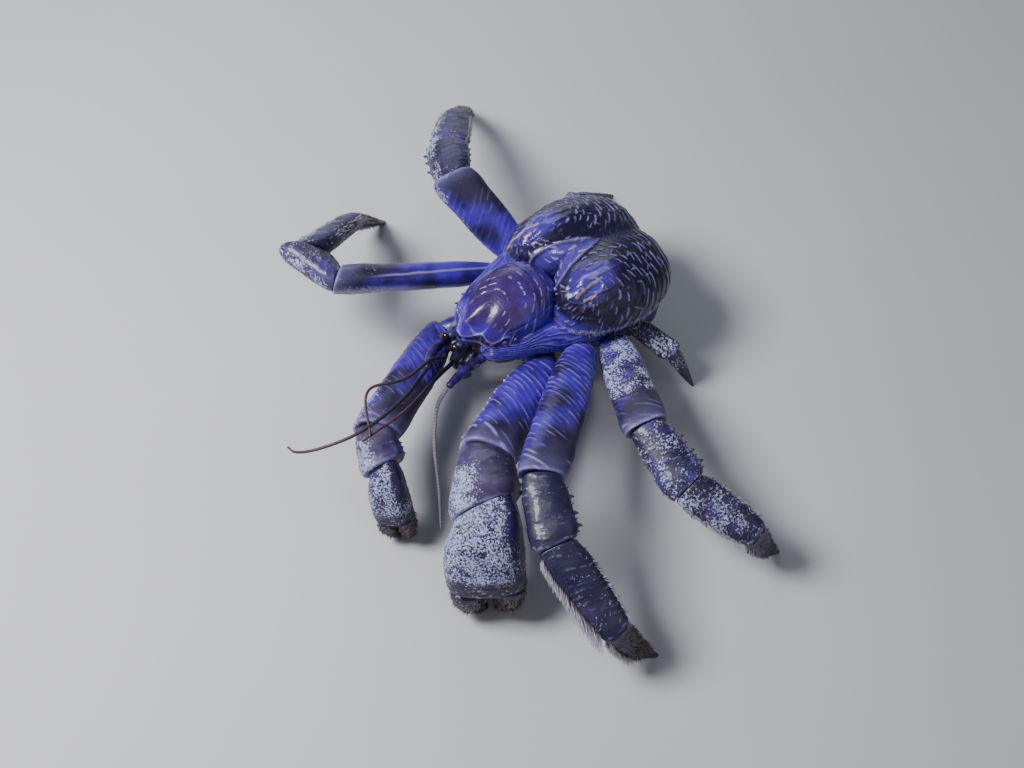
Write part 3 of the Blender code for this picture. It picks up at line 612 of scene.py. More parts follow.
def build_shield():
    grid, phi, t = dome_grid(shield_point, 140, 360, 5.0)
    x, y = grid[..., 0], grid[..., 1]
    tilt, ahead = np.degrees(t), from_ahead(phi)
    rim_near = soft((tilt - 42) / 28)
    ring = np.hypot((x - CREST_SPOT[0]) * 1.05, (y - CREST_SPOT[1]) * 0.85) + 3 * swell(grid, 14.0, 5)
    bearing = np.arctan2(x - CREST_SPOT[0], y - CREST_SPOT[1])
    crescents = striae(ring, bearing, CRESCENT_SPACING, shield_dash(CRESCENT), 21, 0.10, 0.55, -0.08)
    crescents = crescents * soft((ring - 7) / 6)
    arcs = striae(ring, bearing, ARC_SPACING, shield_dash(ARC), 22, 0.095, 0.8, 0.04)
    lines = 0.85 * crescents * (1 - rim_near) + arcs * rim_near
    edge = hump(tilt, 88, 2.4)
    brow_line = 74 + 4.0 * np.sin(ahead * 12)
    brow = hump(tilt, brow_line, 2.0) * soft((1.2 - ahead) * 4)
    under_brow = soft((tilt - brow_line - 2) / 5) * soft((1.1 - ahead) * 4)
    furrow = hump(t, np.radians(63), 0.035) * (np.abs(phi - np.pi) < 2.2)
    height = (0.32 * lines + 0.45 * edge + 0.7 * brow - 0.35 * furrow - 0.5 * under_brow
              + 0.08 * swell(grid, 1.4, 9, 2) + 0.6 * swell(grid, 9.0, 12))
    grid = raised(grid, height)
    brown = 0.9 - 0.7 * rim_near - 0.5 * hump(y, -2, 9) + 0.6 * swell(grid, 15.0, 14)
    marks = {
        "pale": np.clip(lines * 0.80 + 0.5 * edge + 0.5 * brow, 0, 1),
        "brown": np.clip(brown, 0, 1),
        "shade": 0.05 - 0.1 * rim_near + 0.6 * under_brow,
    }
    dress("carapace_shield_plate", grid, marks, shield_shell, "shell", "carapace_shield")


build_shield()

# %% [markdown]
# The rear plate swells over the gills in two lobes, with the heart field between them at the front. Rows of
# pale dashes ring the front of each lobe. Near it they are short flecks; toward the rear and side margins
# they grow long, lean, and link up like the edges of scales. On the front of each lobe fine wrinkles run
# fore and aft, and a few old scars show cream under the worn colour.

# %% Rear carapace
REAR_CENTRE = np.array([0.0, 21.0])
REAR_RIM_Z, REAR_HEIGHT, REAR_DROP = 62.0, 30.5, 7.0
# Degrees from straight ahead, and how far the outline reaches there
REAR_OUTLINE = ((0, 16), (22, 30), (40, 45), (62, 49.5), (90, 51.5), (120, 59), (145, 63.5), (165, 60.5),
                (180, 56))
LOBE_FRONT = np.array([26.0, 4.0])          # the spot on each lobe that its rows of dashes ring round
DASH_SPACING, LINK_SPACING = 5.0, 7.5
# Both ends and the half-width of each scar
SCARS = (((30.2, -1.1), (29.3, 18.3), 1.1), ((34.3, 1.6), (36, 9.5), 0.8), ((-32.6, -9.1), (-31.2, 0.2), 1.7),
         ((-31.2, 0.2), (-30.1, 9.7), 1.2), ((-26.0, -2.0), (-25.0, 1.5), 1.3))


def rear_point(phi, t):
    """A point of the smooth rear plate: an outline read by angle, two lobes, and valleys between them."""
    reach = smooth_interp(np.degrees(from_ahead(phi)), *zip(*REAR_OUTLINE))
    rho, lift = np.sin(t) ** (2 / 2.4), np.cos(t) ** (2 / 2.4)
    x = REAR_CENTRE[0] + reach * rho * np.sin(phi)
    y = REAR_CENTRE[1] - reach * rho * np.cos(phi)
    side, back = np.abs(x), y - REAR_CENTRE[1]
    rim = REAR_RIM_Z + 4 * np.clip(back / 50, 0, 1) ** 2 + 3 * np.clip(-back / 40, 0, 1)
    lobes = 6.5 * np.exp(-((side - 27) / 13) ** 2 - (back / 30) ** 2)
    valley = 1.6 * hump(side, 0, 9) * np.clip(back / 12, 0, 1) + 2.0 * hump(side, 9, 5) * hump(back, -20, 14)
    top = REAR_HEIGHT + lobes - valley - 8 * np.clip(back / 50, 0, 1) ** 2
    return np.stack([x, y, rim + top * lift], -1)


def rear_dash(ring):
    """Dashes grow from flecks near a lobe's front to long lines far from it; given as an angle round it."""
    return (3.6 + 9.0 * np.clip(ring / 60, 0, 1) ** 2) / np.maximum(ring, 8)


def scar_mask(x, y):
    """1 on a scar: a band round the line between its two ends, ragged by noise."""
    mask = np.zeros(x.shape)
    for start, end, half_width in SCARS:
        start, run = np.array(start), np.subtract(end, start)
        share = np.clip(((x - start[0]) * run[0] + (y - start[1]) * run[1]) / (run @ run), 0, 1)
        away = np.hypot(x - start[0] - share * run[0], y - start[1] - share * run[1])
        ragged = half_width * (0.6 + 0.9 * flat_noise(x / 2.0, y / 2.0, 49))
        mask = np.maximum(mask, 0.75 * soft(1.4 - away / ragged))
    return mask


def build_rear():
    grid, phi, t = dome_grid(rear_point, 150, 600, REAR_DROP)
    x, y, z = np.moveaxis(grid, -1, 0)
    side, back, tilt = np.abs(x), y - REAR_CENTRE[1], np.degrees(t)
    mirrored = np.stack([side, y, z], -1)
    front = mirrored.reshape(-1, 3)[np.argmin(np.hypot(side - LOBE_FRONT[0], y - LOBE_FRONT[1]))]
    ring = np.linalg.norm(mirrored - front, axis=-1) + 6.0 * swell(grid, 15.0, 31)
    bearing = np.arctan2(side - front[0], y - front[1]) + 1.7 * (x < 0)
    linked = soft((ring - 20) / 22)
    scales = striae(ring, bearing, DASH_SPACING, rear_dash, 33, 0.15, 0.44 + 0.46 * linked, -0.08, 0.34, 0.35)
    links = striae(bearing * 42 + 0.9 * ring, ring, LINK_SPACING, 6.0, 35, 0.075, 0.5, 0.1, 0.1, 0.6) * linked
    valley = hump(side, 0, 8) * soft((back + 4) / 14)
    front_lobe = np.exp(-((side - 28) / 14) ** 2 - ((back + 10) / 20) ** 2)
    wrinkled = grid * (1.0, 0.38, 1.0)
    worms = hump(swell(wrinkled, 4.2, 47), 0, 0.06) * front_lobe
    folds = noise(wrinkled, 3.6, 48) + 0.5 * noise(wrinkled, 7.5, 50) - 0.75
    lines = np.clip(np.maximum(scales, 0.8 * links) * (1 - 0.9 * valley) * (1 - 0.75 * front_lobe), 0, 1)
    heart_width = np.clip(13 - 0.3 * (back + 25), 0, 13)
    heart = soft((heart_width - side) / 3 + 0.3) * (heart_width > 0.3)
    heart_edge = hump(side, heart_width + 0.6, 1.1) * soft(heart_width / 3)
    scar = scar_mask(x, y)
    rim_edge = hump(tilt, 87.5, 2.2)
    terrace = (ring / DASH_SPACING) % 1.0
    height = (0.42 * lines + 0.7 * worms + 0.9 * heart_edge - 0.5 * heart + 0.5 * rim_edge + 0.35 * scar
              + 4.0 * folds * front_lobe + 0.7 * swell(grid, 10.0, 51) + 0.08 * swell(grid, 1.6, 53, 2)
              + 0.35 * (0.5 - terrace) * linked)
    grid = raised(grid, height)
    blue_margin = soft((tilt - 66) / 16) * (0.4 + 0.6 * soft((1.5 - from_ahead(phi)) * 1.5))
    pale = lines * 0.80 + worms * 0.7 + rim_edge * 0.45 + 0.6 * heart_edge + 0.2 * heart
    brown = (1.15 - 1.1 * front_lobe - 0.9 * blue_margin - 0.8 * heart - 0.45 * valley
             + 0.5 * swell(grid, 14.0, 55))
    marks = {
        "pale": np.clip(pale, 0, 1),
        "brown": np.clip(brown, 0, 1),
        "shade": np.clip(0.3 - 0.7 * front_lobe - 0.3 * blue_margin - 0.5 * heart, -0.5, 0.9),
        "cream": scar,
    }
    dress("carapace_rear_plate", grid, marks, rear_shell, "shell", "carapace_rear")


build_rear()

# %% [markdown]
# Below the shield the side of the body is a soft, pleated wall. Its folds run fore and aft, bunch and join.
# The contour lines of a slope do this when long, lazy noise is added to it, so they are the folds here.

# %% Flanks and thorax
SIDES = ((1, "left"), (-1, "right"))
# Stations of a flank: y, the middle's x and z, half width and half height
FLANK = ((-62, 15, 56, 5, 6), (-50, 20, 57, 7, 8), (-32, 25, 58, 9, 10),
         (-12, 30, 56, 11, 12), (8, 35, 54, 10, 11), (22, 38, 54, 5, 7))
# Stations of the thorax: y, half width, lowest and highest z
THORAX = ((-62, 12, 42, 60), (-52, 18, 32, 64), (-36, 22, 25, 66), (-14, 26, 23, 68),
          (10, 31, 23, 72), (32, 31, 25, 74), (45, 25, 32, 74))
THORAX_TOP = 57.5               # the carapace covers what is above


def rounded(angle, half_width, half_depth, power):
    """The two offsets of a rounded rectangle at an angle around it."""
    def offset(part, half):
        return np.sign(part) * np.abs(part) ** (2 / power) * half
    return offset(np.cos(angle), half_width), offset(np.sin(angle), half_depth)


def body_tube(stations, side, rows, columns, power):
    """A closed run of rounded rectangles along y; its ends shrink so that they close in a curve."""
    table = np.array(stations, float).T
    y = np.linspace(table[0, 0], table[0, -1], rows)[:, None]
    middle_x, middle_z, half_width, half_depth = (smooth_interp(y, table[0], column) for column in table[1:])
    end = np.minimum(y - y[0], y[-1] - y)
    close = np.sqrt(np.clip(1 - (1 - np.clip(end / 4.0, 0.02, 1)) ** 2, 0.05, 1))
    ox, oz = rounded(turns(columns), half_width * close, half_depth * close, power)
    return np.stack([side * (middle_x + ox), np.broadcast_to(y, ox.shape), middle_z + oz], -1)


def build_flank(side, word):
    rows, columns = 200, 150
    grid = body_tube(FLANK, side, rows, columns, 2.2)
    level = (5 * np.sin(turns(columns)) + 3.2 * noise(grid * (1.0, 0.22, 1.0), 6.5, 61)
             + 0.5 * noise(grid, 3.0, 62))
    fold = level % 1.0
    bulge = np.sin(np.pi * fold)
    crest = hump(fold, 0.5, 0.12)
    broken = soft((noise(grid * (1.0, 0.4, 1.0), 3.0, 64) - 0.28) * 6)
    grid = raised(grid, 0.7 * bulge**2 + 0.25 * crest + 0.6 * swell(grid, 8.0, 65) - 0.5)
    marks = {"pale": 0.65 * crest * broken, "brown": 0.05, "shade": 0.3 - 0.4 * bulge}
    dress("flank_%s_wall" % word, grid, marks, shield_shell, "shell", "flank_" + word)


def build_thorax():
    stations = [(y, 0, (low + high) / 2, half_width, (high - low) / 2) for y, half_width, low, high in THORAX]
    grid = body_tube(stations, 1, 160, 150, 3.0)
    grid[..., 2] = np.minimum(grid[..., 2], THORAX_TOP)
    seams = hump((grid[..., 1] / 15.0) % 1.0, 0.5, 0.07) + hump(grid[..., 0], 0, 0.8)
    grid = raised(grid, -0.8 * np.clip(seams, 0, 1) + 0.5 * swell(grid, 4.0, 71, 2) - 0.3)
    dress("thorax_underside", grid, {}, belly_skin, "underside", "thorax")


for side_sign, side_word in SIDES:
    build_flank(side_sign, side_word)
build_thorax()

# %% [markdown]
# A limb length is a rounded rectangle swept between two joints. The flat face that halves the bend at each
# joint gives neighbouring lengths the same cut, so they meet cleanly in any bend. Each end then gets a
# rounded lip and a hollow that turns inward, where a dark joint skin shows, as in a real crab's leg.

# %% Limb lengths
GAP = 0.3 / LIFE_SCALE
VIEW_FACE = np.array([0.42, -0.34, 0.84])
# Profiles: a place along the length, and the shares of its half depth and half thickness there
BASE = ((0, 0.85, 1.0), (0.5, 0.85, 1.0), (1, 0.72, 0.86))
MERUS = ((0, 0.66, 0.80), (0.12, 0.82, 0.92), (0.4, 0.98, 1.0), (0.7, 1.0, 1.0), (0.93, 1.03, 1.08),
         (1, 0.96, 1.0))
CARPUS = ((0, 0.74, 0.82), (0.2, 0.90, 0.98), (0.6, 1.0, 1.08), (0.88, 1.02, 1.08), (1, 0.90, 0.95))
PROPODUS = ((0, 0.82, 0.90), (0.15, 0.94, 0.98), (0.5, 0.92, 0.92), (0.85, 0.80, 0.82), (1, 0.70, 0.74))
DACTYL = ((0, 0.62, 0.70), (0.18, 0.66, 0.72), (0.5, 0.50, 0.54), (0.8, 0.30, 0.34), (1, 0.12, 0.16))
TERGITE = ((0, 0.92, 0.91), (0.3, 0.99, 0.99), (0.75, 1.03, 1.03), (1, 0.96, 0.95))
TELSON = ((0, 0.96, 0.95), (0.4, 0.95, 0.9), (0.8, 0.7, 0.6), (1, 0.4, 0.35))
LIP, LIP_ROWS = 1.4, 8          # how far from an end its lip starts to round over, and the rows it takes
HOLLOW = ((0.93, 0.05), (0.84, 0.5), (0.70, 1.2), (0.30, 1.5))      # share and depth of each ring of a hollow


def outward_ways(ways, outward):
    """Unit vectors along ways, each turned round if it points against outward."""
    return unit_rows(ways) * np.sign(np.sum(ways * outward, -1, keepdims=True))


def perch_on(surface, places, degrees, step):
    """Roots on a surface at places along it and degrees round it, and the ways straight out of it."""
    angle, turn = np.radians(degrees), 0.12
    root = surface(places, angle)
    around = surface(places, angle + turn) - surface(places, angle - turn)
    onward = surface(places + step, angle) - surface(places - step, angle)
    return root, outward_ways(np.cross(around, onward), root - surface(places, angle + np.pi))


def hollow(ring, inward, steps=HOLLOW):
    """Rings that turn in from a lip and sink a little, like the hollow of a joint."""
    centre = ring.mean(0)
    return np.array([centre + (ring - centre) * share + inward * sink for share, sink in steps])


def padded(marks, shape, before, after=0):
    """The marks over a grid of that shape, with their end rows repeated over the rings of its hollows."""
    rows = (before, after), (0, 0)
    return {key: np.pad(np.broadcast_to(value, shape), rows, "edge") for key, value in marks.items()}


def chain(joints):
    """The joints of a limb as arrays, and the unit ways from each to the next."""
    joints = [np.asarray(joint, float) for joint in joints]
    return joints, [unit(b - a) for a, b in zip(joints, joints[1:])]


class Length:
    """Length k of a limb, between two joints and closed by faces that halve the bend at each of them."""

    def __init__(self, joints, ways, k, face, profile, size, power=2.4, bow=0.0, floor=False, tilt=0.0):
        self.along = ways[k]
        self.thick = unit(face - (face @ self.along) * self.along)
        self.deep = np.cross(self.thick, self.along)
        before = ways[k - 1] if k else self.along
        after = ways[k + 1] if k + 1 < len(ways) else self.along
        self.near = unit(self.along + before)
        self.far = np.array([0.0, 0.0, -1.0]) if floor else unit(self.along + after + tilt)
        self.start = joints[k] + self.along * GAP / 2 / (self.along @ self.near)
        self.end = joints[k + 1] - self.along * (0.0 if floor else GAP / 2 / (self.along @ self.far))
        self.profile, self.size, self.power, self.bow, self.floor = np.array(profile), size, power, bow, floor
        self.length = np.linalg.norm(self.end - self.start)
        self.reach = [self.skew_reach(normal) for normal in (self.near, self.far)]

    def skew_reach(self, normal):
        """Over what share of the length the slant of an end face dies away."""
        slant = np.hypot((normal @ self.deep) * self.size[0], (normal @ self.thick) * self.size[1])
        return min(1.0, max(0.4, 3 * slant / abs(self.along @ normal) / self.length))

    def surface(self, place_in, angle, shrink=1.0):
        """Points at a place from 0 to 1 along the length and an angle around it."""
        place_in, angle = np.broadcast_arrays(np.asarray(place_in, float), np.asarray(angle, float))
        halves = [smooth_interp(place_in, self.profile[:, 0], self.profile[:, k + 1]) * half * shrink
                  for k, half in enumerate(self.size)]
        x, y = rounded(angle, *halves, self.power)
        off = x[..., None] * self.deep + y[..., None] * self.thick
        shift = np.zeros(place_in.shape)
        for distance, normal, reach in zip((place_in, 1 - place_in), (self.near, self.far), self.reach):
            shift = shift - np.clip(1 - distance / reach, 0, 1) * (off @ normal) / (self.along @ normal)
        run = place_in * self.length + shift
        bend = self.bow * 4 * place_in * (1 - place_in)
        return self.start + run[..., None] * self.along + bend[..., None] * self.deep + off

    def perch(self, places, degrees):
        return perch_on(self.surface, places, degrees, 0.03)

    def section(self, station, share, half_along):
        """Half sizes of the ball that fills the joint at one end, from the section there."""
        return (*(self.profile[station, 1:] * self.size * share), half_along)

    def grid(self, rows, columns, detail, seed):
        """The raised grid and its marks: lipped ends, hollow sockets, and whatever relief detail gives."""
        lip = LIP / self.length
        near_lip = np.linspace(0, lip, LIP_ROWS, endpoint=False)
        middle = np.linspace(lip, 1 - lip, rows)
        place_in = np.concatenate([near_lip, middle, 1 - near_lip[::-1]])[:, None]
        from_end = np.minimum(place_in, 1.0 if self.floor else 1 - place_in) * self.length
        inset = 1 - np.clip(from_end / LIP, 0, 1)
        shrink = 1 - 0.09 * (1 - np.sqrt(np.clip(1 - inset**2, 0, 1)))
        points = self.surface(place_in, turns(columns), shrink)
        shape = points.shape[:2]
        angle, along = np.broadcast_to(turns(columns), shape), np.broadcast_to(place_in * self.length, shape)
        height, marks = detail(self, points, along, angle * sum(self.size) / 2, angle, seed)
        points = raised(points, height * soft(from_end / LIP))
        whole = [hollow(points[0], self.near)[::-1], points]
        if not self.floor:
            whole.append(hollow(points[-1], -self.far))
        return np.concatenate(whole), padded(marks, shape, len(HOLLOW), 0 if self.floor else len(HOLLOW))


def standard_marks(points, seed, brown=0.1, dust=0.0, shade=0.1):
    """Drifting amounts of the three masks that every limb length has."""
    drift = swell(points, 11.0, seed)
    return {"brown": brown + 0.4 * drift, "dust": dust * (0.8 + 0.8 * swell(points, 7.0, seed + 7)),
            "shade": shade + 0.9 * drift}


def girth(length):
    """Roughly how far it is round a length."""
    return np.pi * sum(length.size)


def sideways(length, points):
    """Where points lie across a length as the viewer sees it: -1 at its front edge, 1 at its rear edge."""
    across = unit(np.cross(VIEW_FACE, length.along))
    half = np.hypot((across @ length.deep) * length.size[0], (across @ length.thick) * length.size[1])
    return (points - length.start) @ across * np.sign(across[1]) / half


# A detail gives a length's relief and masks from its points, the millimetres along and around it, the angle
# around it and a seed. Each function below makes the detail of one kind of length.
def merus_detail(spacing, brown, dust_near, dust_far, edge=0.0, ribbed=1.0):
    """Low ribs that cross the length aslant, broken and worn lilac; the far third is smooth and slate grey.

    edge is the share of scurf on the front edge. A length whose ribbed is near 0 has a keel along it instead.
    """
    def detail(length, points, along, around, angle, seed):
        part, side = along / length.length, sideways(length, points)
        far = soft((part - 0.5 + 0.22 * side) / 0.4)
        rows = along - 0.62 * side * length.size[0] + 3.5 * swell(points, 15.0, seed + 1)
        ribs = ribbed * striae(rows, around, spacing, 15.0, seed, 0.13, 0.8 - 0.6 * far, 0.10, 0.1, 0.35,
                               girth(length))
        fold = soft(1 - np.abs(((rows / spacing) % 1.0) - 0.42) * 2.4) * (1 - 0.8 * far) * ribbed
        keel = hump(side, 0.25 - 0.35 * part + 0.08 * swell(points, 9.0, seed + 6), 0.10)
        keel = keel * soft(3 - 10 * ribbed) * soft((0.9 - part) * 4)
        height = 0.26 * ribs + 0.24 * fold + 0.7 * keel + 0.6 * swell(points, 7.0, seed + 5)
        far_dust = soft((part - 0.62) / 0.2)
        dust = dust_near * (1 - far_dust) + dust_far * far_dust
        dust = dust + edge * soft((-side - 0.55) / 0.4) * (0.3 + 0.7 * part)
        marks = standard_marks(points, seed, brown + 0.9 * far, dust, 0.12 + 0.12 * far - 0.12 * side)
        rims = 0.3 * hump(along, 1.5, 3.0) + 0.25 * hump(along, length.length - 1.0, 1.4)
        worn = 0.45 + 0.5 * noise(points, 9.0, seed + 9)
        # The pale mask is worn lilac on the ribs and rims. The pale keel line and the lighter far end of the
        # merus are partly pale shell and partly a painted highlight.
        marks["pale"] = np.clip(worn * ribs + 0.9 * keel + rims + 0.34 * soft((part - 0.78) / 0.2), 0, 1)
        return height, marks
    return detail


def scaly_detail(spacing, dash, brown, dust, shade=0.2, edge=0.0):
    """Short scale-like dashes in cross rows, as on the wrist and the hand length of a leg."""
    def detail(length, points, along, around, angle, seed):
        side = sideways(length, points)
        rows = along - 0.3 * side * length.size[0] + 3.0 * swell(points, 12.0, seed + 1)
        dashes = striae(rows, around, spacing, dash, seed, 0.13, 0.5, 0.14, 0.05, 0.35, girth(length))
        height = 0.3 * dashes + 0.2 * swell(points, 1.5, seed + 3, 2) + 0.8 * swell(points, 7.0, seed + 5)
        marks = standard_marks(points, seed, brown, dust + edge * soft((-side - 0.3) / 0.5), shade)
        far_rim = hump(along, length.length - 1.0, 1.4)
        marks["pale"] = 0.38 * dashes + 0.3 * (noise(points, 6.0, seed + 8) - 0.55) + 0.2 * far_rim
        marks["pale"] = np.clip(marks["pale"], 0, 1)
        return height, marks
    return detail


def wrist_detail(dust):
    """The claw arm's wrist: cloudy purple brown, scurf on its front and far side, a few scales."""
    def detail(length, points, along, around, angle, seed):
        part, side = along / length.length, sideways(length, points)
        rows = along + 3.0 * swell(points, 12.0, seed + 1)
        scales = striae(rows, around, 5.6, 4.5, seed, 0.13, 0.3, 0.14, 0.05, 0.35, girth(length))
        far_rim = hump(along, length.length - 1.0, 1.4)
        marks = standard_marks(points, seed, 0.75, 0.0, 0.1)
        scurf = soft((0.25 - side) / 0.8) * soft((part - 0.1) / 0.5)
        marks["dust"] = dust * scurf * (0.8 + 0.5 * noise(points, 7.0, seed + 7))
        marks["pale"] = np.clip(0.3 * scales + 0.9 * swell(points, 5.0, seed + 8, 3) + 0.3 * far_rim, 0, 1)
        return 0.3 * scales + 1.0 * swell(points, 8.0, seed + 5, 2), marks
    return detail


def smooth_detail(brown, dust):
    """A plain length with a few low lumps."""
    def detail(length, points, along, around, angle, seed):
        marks = standard_marks(points, seed, brown, dust)
        marks["pale"] = 0.25 * hump(along, length.length - 1.5, 2.0)
        return 0.5 * swell(points, 5.0, seed, 2), marks
    return detail


def dactyl_detail(dust):
    """The pointed last length: fluted, chalky near its root, horn dark toward the tip."""
    def detail(length, points, along, around, angle, seed):
        flutes = np.cos(angle * 6) * 0.25
        dashes = striae(along, around, 4.2, 3.6, seed, 0.15, 0.5, 0.14, 0.0, 0.0, girth(length))
        part = along / length.length
        near_dust = dust * (1 - soft((part - 0.35) / 0.4))
        marks = standard_marks(points, seed, 0.9, near_dust, 0.3 + 0.7 * soft(part))
        marks["pale"] = 0.4 * dashes * (1 - part)
        return (0.3 * dashes + flutes * (1 - part)) * np.clip(1.3 - part, 0, 1), marks
    return detail


def dress_length(node, length, rows, columns, detail, material, slot, seed, kind="shell"):
    """Builds the fine piece of one limb length and puts it in the place of its solid."""
    grid, marks = length.grid(rows, columns, detail, seed)
    dress("%s_%s" % (node, kind), grid, marks, material, slot, node)


def ball_grid(middle, axes, halves):
    """A ball round its middle, stretched to its half sizes along three axes."""
    u, v = np.meshgrid(np.linspace(0.04, np.pi - 0.04, 14), turns(24), indexing="ij")
    shares = (np.sin(u) * np.cos(v), np.sin(u) * np.sin(v), np.cos(u))
    return middle + sum((share * half)[..., None] * axis for share, axis, half in zip(shares, axes, halves))


def joint_ball(joint, before, after, length, halves):
    """The ball that fills a joint; its long axis follows the mean way through the joint."""
    along = unit(before + after)
    deep = unit(length.deep - (length.deep @ along) * along)
    return ball_grid(joint, (deep, np.cross(along, deep), along), halves)


def add_joint_skin(name, balls):
    """Dark skin in the joints of a limb: all its balls in one mesh."""
    points, quads, ends = (np.array(sets) for sets in zip(*(closed_parts(ball) for ball in balls)))
    start = (np.arange(len(balls)) * points.shape[1])[:, None, None]
    mesh = mesh_of(name + "_joint_skin", points.reshape(-1, 3), (quads + start).reshape(-1, 4),
                   (ends + start).reshape(-1, 3))
    add_piece(name + "_joint_skin", mesh, joint_skin, "limb")


SPIKE_STEPS = (-0.12, 0.1, 0.4, 0.7, 0.9)
HAIR_STEPS = (-0.1, 0.35, 0.7)
UV_PATCH = 0.003                # size of one hair's patch on the unwrap


def spikes(name, roots, ways, lengths, radii, bends=0.0, sides=8, steps=SPIKE_STEPS, homes=None):
    """Tapered, curved spikes in one mesh: centre(s) = root + length * (way * s + bend * s**2).

    Given homes, places from 0 to 1 on an unwrap of the skin, each spike gets a small patch of texture there.
    """
    n, k, steps = len(roots), len(steps), np.array(steps)
    lengths, radii = (np.broadcast_to(value, n)[:, None, None] for value in (lengths, radii))
    bends = np.broadcast_to(bends, (n, 3))[:, None]
    ways = unit_rows(ways)[:, None]
    first = unit_rows(np.cross(ways, np.where(np.abs(ways[..., 2:]) < 0.8, (0.0, 0.0, 1.0), (1.0, 0.0, 0.0))))
    angle = turns(sides)[None, :, None]
    ring = np.cos(angle) * first + np.sin(angle) * np.cross(ways, first)
    s = np.append(steps, 1.0)[None, :, None]
    centres = np.asarray(roots)[:, None] + lengths * (ways * s + bends * s * np.abs(s))
    taper = ((1 - np.clip(steps, 0, 1)) ** 0.7)[None, :, None, None]
    body = centres[:, :k, None] + taper * radii[..., None] * ring[:, None]
    points = np.concatenate([body.reshape(n, k * sides, 3), centres[:, k:]], 1)
    i, j = np.meshgrid(np.arange(k - 1), np.arange(sides), indexing="ij")
    here, beside = (i * sides + j).ravel(), (i * sides + (j + 1) % sides).ravel()
    quads = np.stack([here, beside, beside + sides, here + sides], 1)
    last = (k - 1) * sides + np.arange(sides)
    tips = np.stack([last, np.roll(last, -1), np.full(sides, k * sides)], 1)
    start = (np.arange(n) * (k * sides + 1))[:, None, None]
    face_sets = (quads, tips, np.arange(sides)[None, ::-1])
    mesh = mesh_of(name, points.reshape(-1, 3),
                   *((faces + start).reshape(-1, faces.shape[1]) for faces in face_sets))
    height = np.append(np.repeat(np.clip(steps, 0, 1), sides), 1.0)
    layer = mesh.attributes.new("tip", "FLOAT", "POINT")
    layer.data.foreach_set("value", np.tile(height, n).astype(np.float32))
    if homes is not None:
        patch = np.stack([np.append(np.tile(np.arange(sides) / sides, k), 0.5), height], 1) * UV_PATCH
        spots = (np.asarray(homes)[:, None] * (0.999 - UV_PATCH) + patch).reshape(-1, 2)
        index = np.zeros(len(mesh.loops), np.int32)
        mesh.loops.foreach_get("vertex_index", index)
        layer = mesh.uv_layers.new(name="OFBake")
        layer.uv.foreach_set("vector", spots[index].astype(np.float32).ravel())
    return mesh


# %% [markdown]
# Now the walking legs. The joints are the drawing's own. The two left legs and the rear right one turn their
# broad faces to the viewer; the second right leg folds at a sharp knee. The far lengths are chalkier.

# %% Walking legs
LEGS = {
    "leg2_left": (((14, 0, 38), (45, -5, 49), (120, -92.5, 80), (158, -108, 70), (212, -102, 46),
                   (226, -76, 0)), VIEW_FACE, (14.8, 8.6)),
    "leg3_left": (((14, 18, 38), (47, 20, 44), (121, -12, 64), (165, -12, 55), (208, 7, 44),
                   (214, 32, 0)), VIEW_FACE, (14.5, 8.5)),
    "leg2_right": (((-14, -10, 38), (-39.5, -23, 52), (-69, -118.5, 80), (-98.5, -126, 80), (-126, -76, 52),
                    (-150, -36, 0)), np.array([0.775, -0.34, -0.53]), (15.5, 8.8)),
    "leg3_right": (((-14, 12, 38), (-42, 6, 50), (-94, -14, 90), (-125, 3, 80), (-171, 41, 48),
                    (-214, 75, 0)), VIEW_FACE, (14.5, 8.5)),
}
# For each leg: the merus's brown mask and its dust at the near and the far end; the brown, dust and shade of
# the carpus and of the propodus; the dust on the dactyl; the dust on front edges; and how ribbed the merus is
LEG_LOOKS = {
    "leg2_left": ((0.0, 0.0, 0.05), (0.9, 0.16, 0.55), (1.0, 0.24, 0.65), 0.22, 0.0, 1.0),
    "leg3_left": ((0.55, 0.58, 0.12), (0.7, 0.46, 0.3), (0.8, 0.54, 0.4), 0.36, 0.1, 0.6),
    "leg2_right": ((0.0, 0.10, 0.20), (0.8, 0.34, 0.1), (0.8, 0.26, 0.5), 0.24, 0.4, 0.1),
    "leg3_right": ((0.1, 0.02, 0.10), (0.9, 0.22, 0.3), (0.7, 0.26, 0.2), 0.24, 0.46, 0.45),
}
# The profile of each length and its share of the leg's size
LEG_PARTS = {"base": (BASE, 0.78), "merus": (MERUS, 1.0), "carpus": (CARPUS, 0.98),
             "propodus": (PROPODUS, 0.92), "dactyl": (DACTYL, 0.92)}
LENGTHS = {}                    # lengths of the walking legs and claw arms, kept for the spikes on them


def build_leg(name, seed):
    joints, face, size = LEGS[name]
    joints, ways = chain(joints)
    merus, carpus, propodus, dust, edge, ribbed = LEG_LOOKS[name]
    details = ((40, 70, smooth_detail(0.1, 0.1)), (200, 120, merus_detail(4.4, *merus, edge, ribbed)),
               (100, 110, scaly_detail(4.6, 4.4, *carpus, edge)),
               (130, 110, scaly_detail(4.4, 4.2, *propodus, edge)), (120, 80, dactyl_detail(dust)))
    balls = []
    for k, ((word, (profile, share)), made) in enumerate(zip(LEG_PARTS.items(), details)):
        last = word == "dactyl"
        length = Length(joints, ways, k, face, profile, (size[0] * share, size[1] * share), floor=last,
                        bow=-3.0 if last else 0.0)
        LENGTHS[name, word] = length
        dress_length(name + "_" + word, length, *made, limb_shell, "claw_tip" if last else "limb", seed + k)
        if k:
            balls.append(joint_ball(joints[k], ways[k - 1], ways[k], length, length.section(0, 0.82, 2.6)))
    add_joint_skin(name, balls)


for leg_number, leg_name in enumerate(LEGS):
    build_leg(leg_name, 100 + 20 * leg_number)

# %% [markdown]
# The claw arms use the same lengths for base, merus and carpus. The hand is different: its middle line is a
# curve from the wrist, past a control point, to the tip on the floor, and rounded sections slide sideways
# off it at the knuckle to make the fixed finger. The movable finger is a second run of sections beside it.

# %% Claw arms
KNUCKLE = 0.58
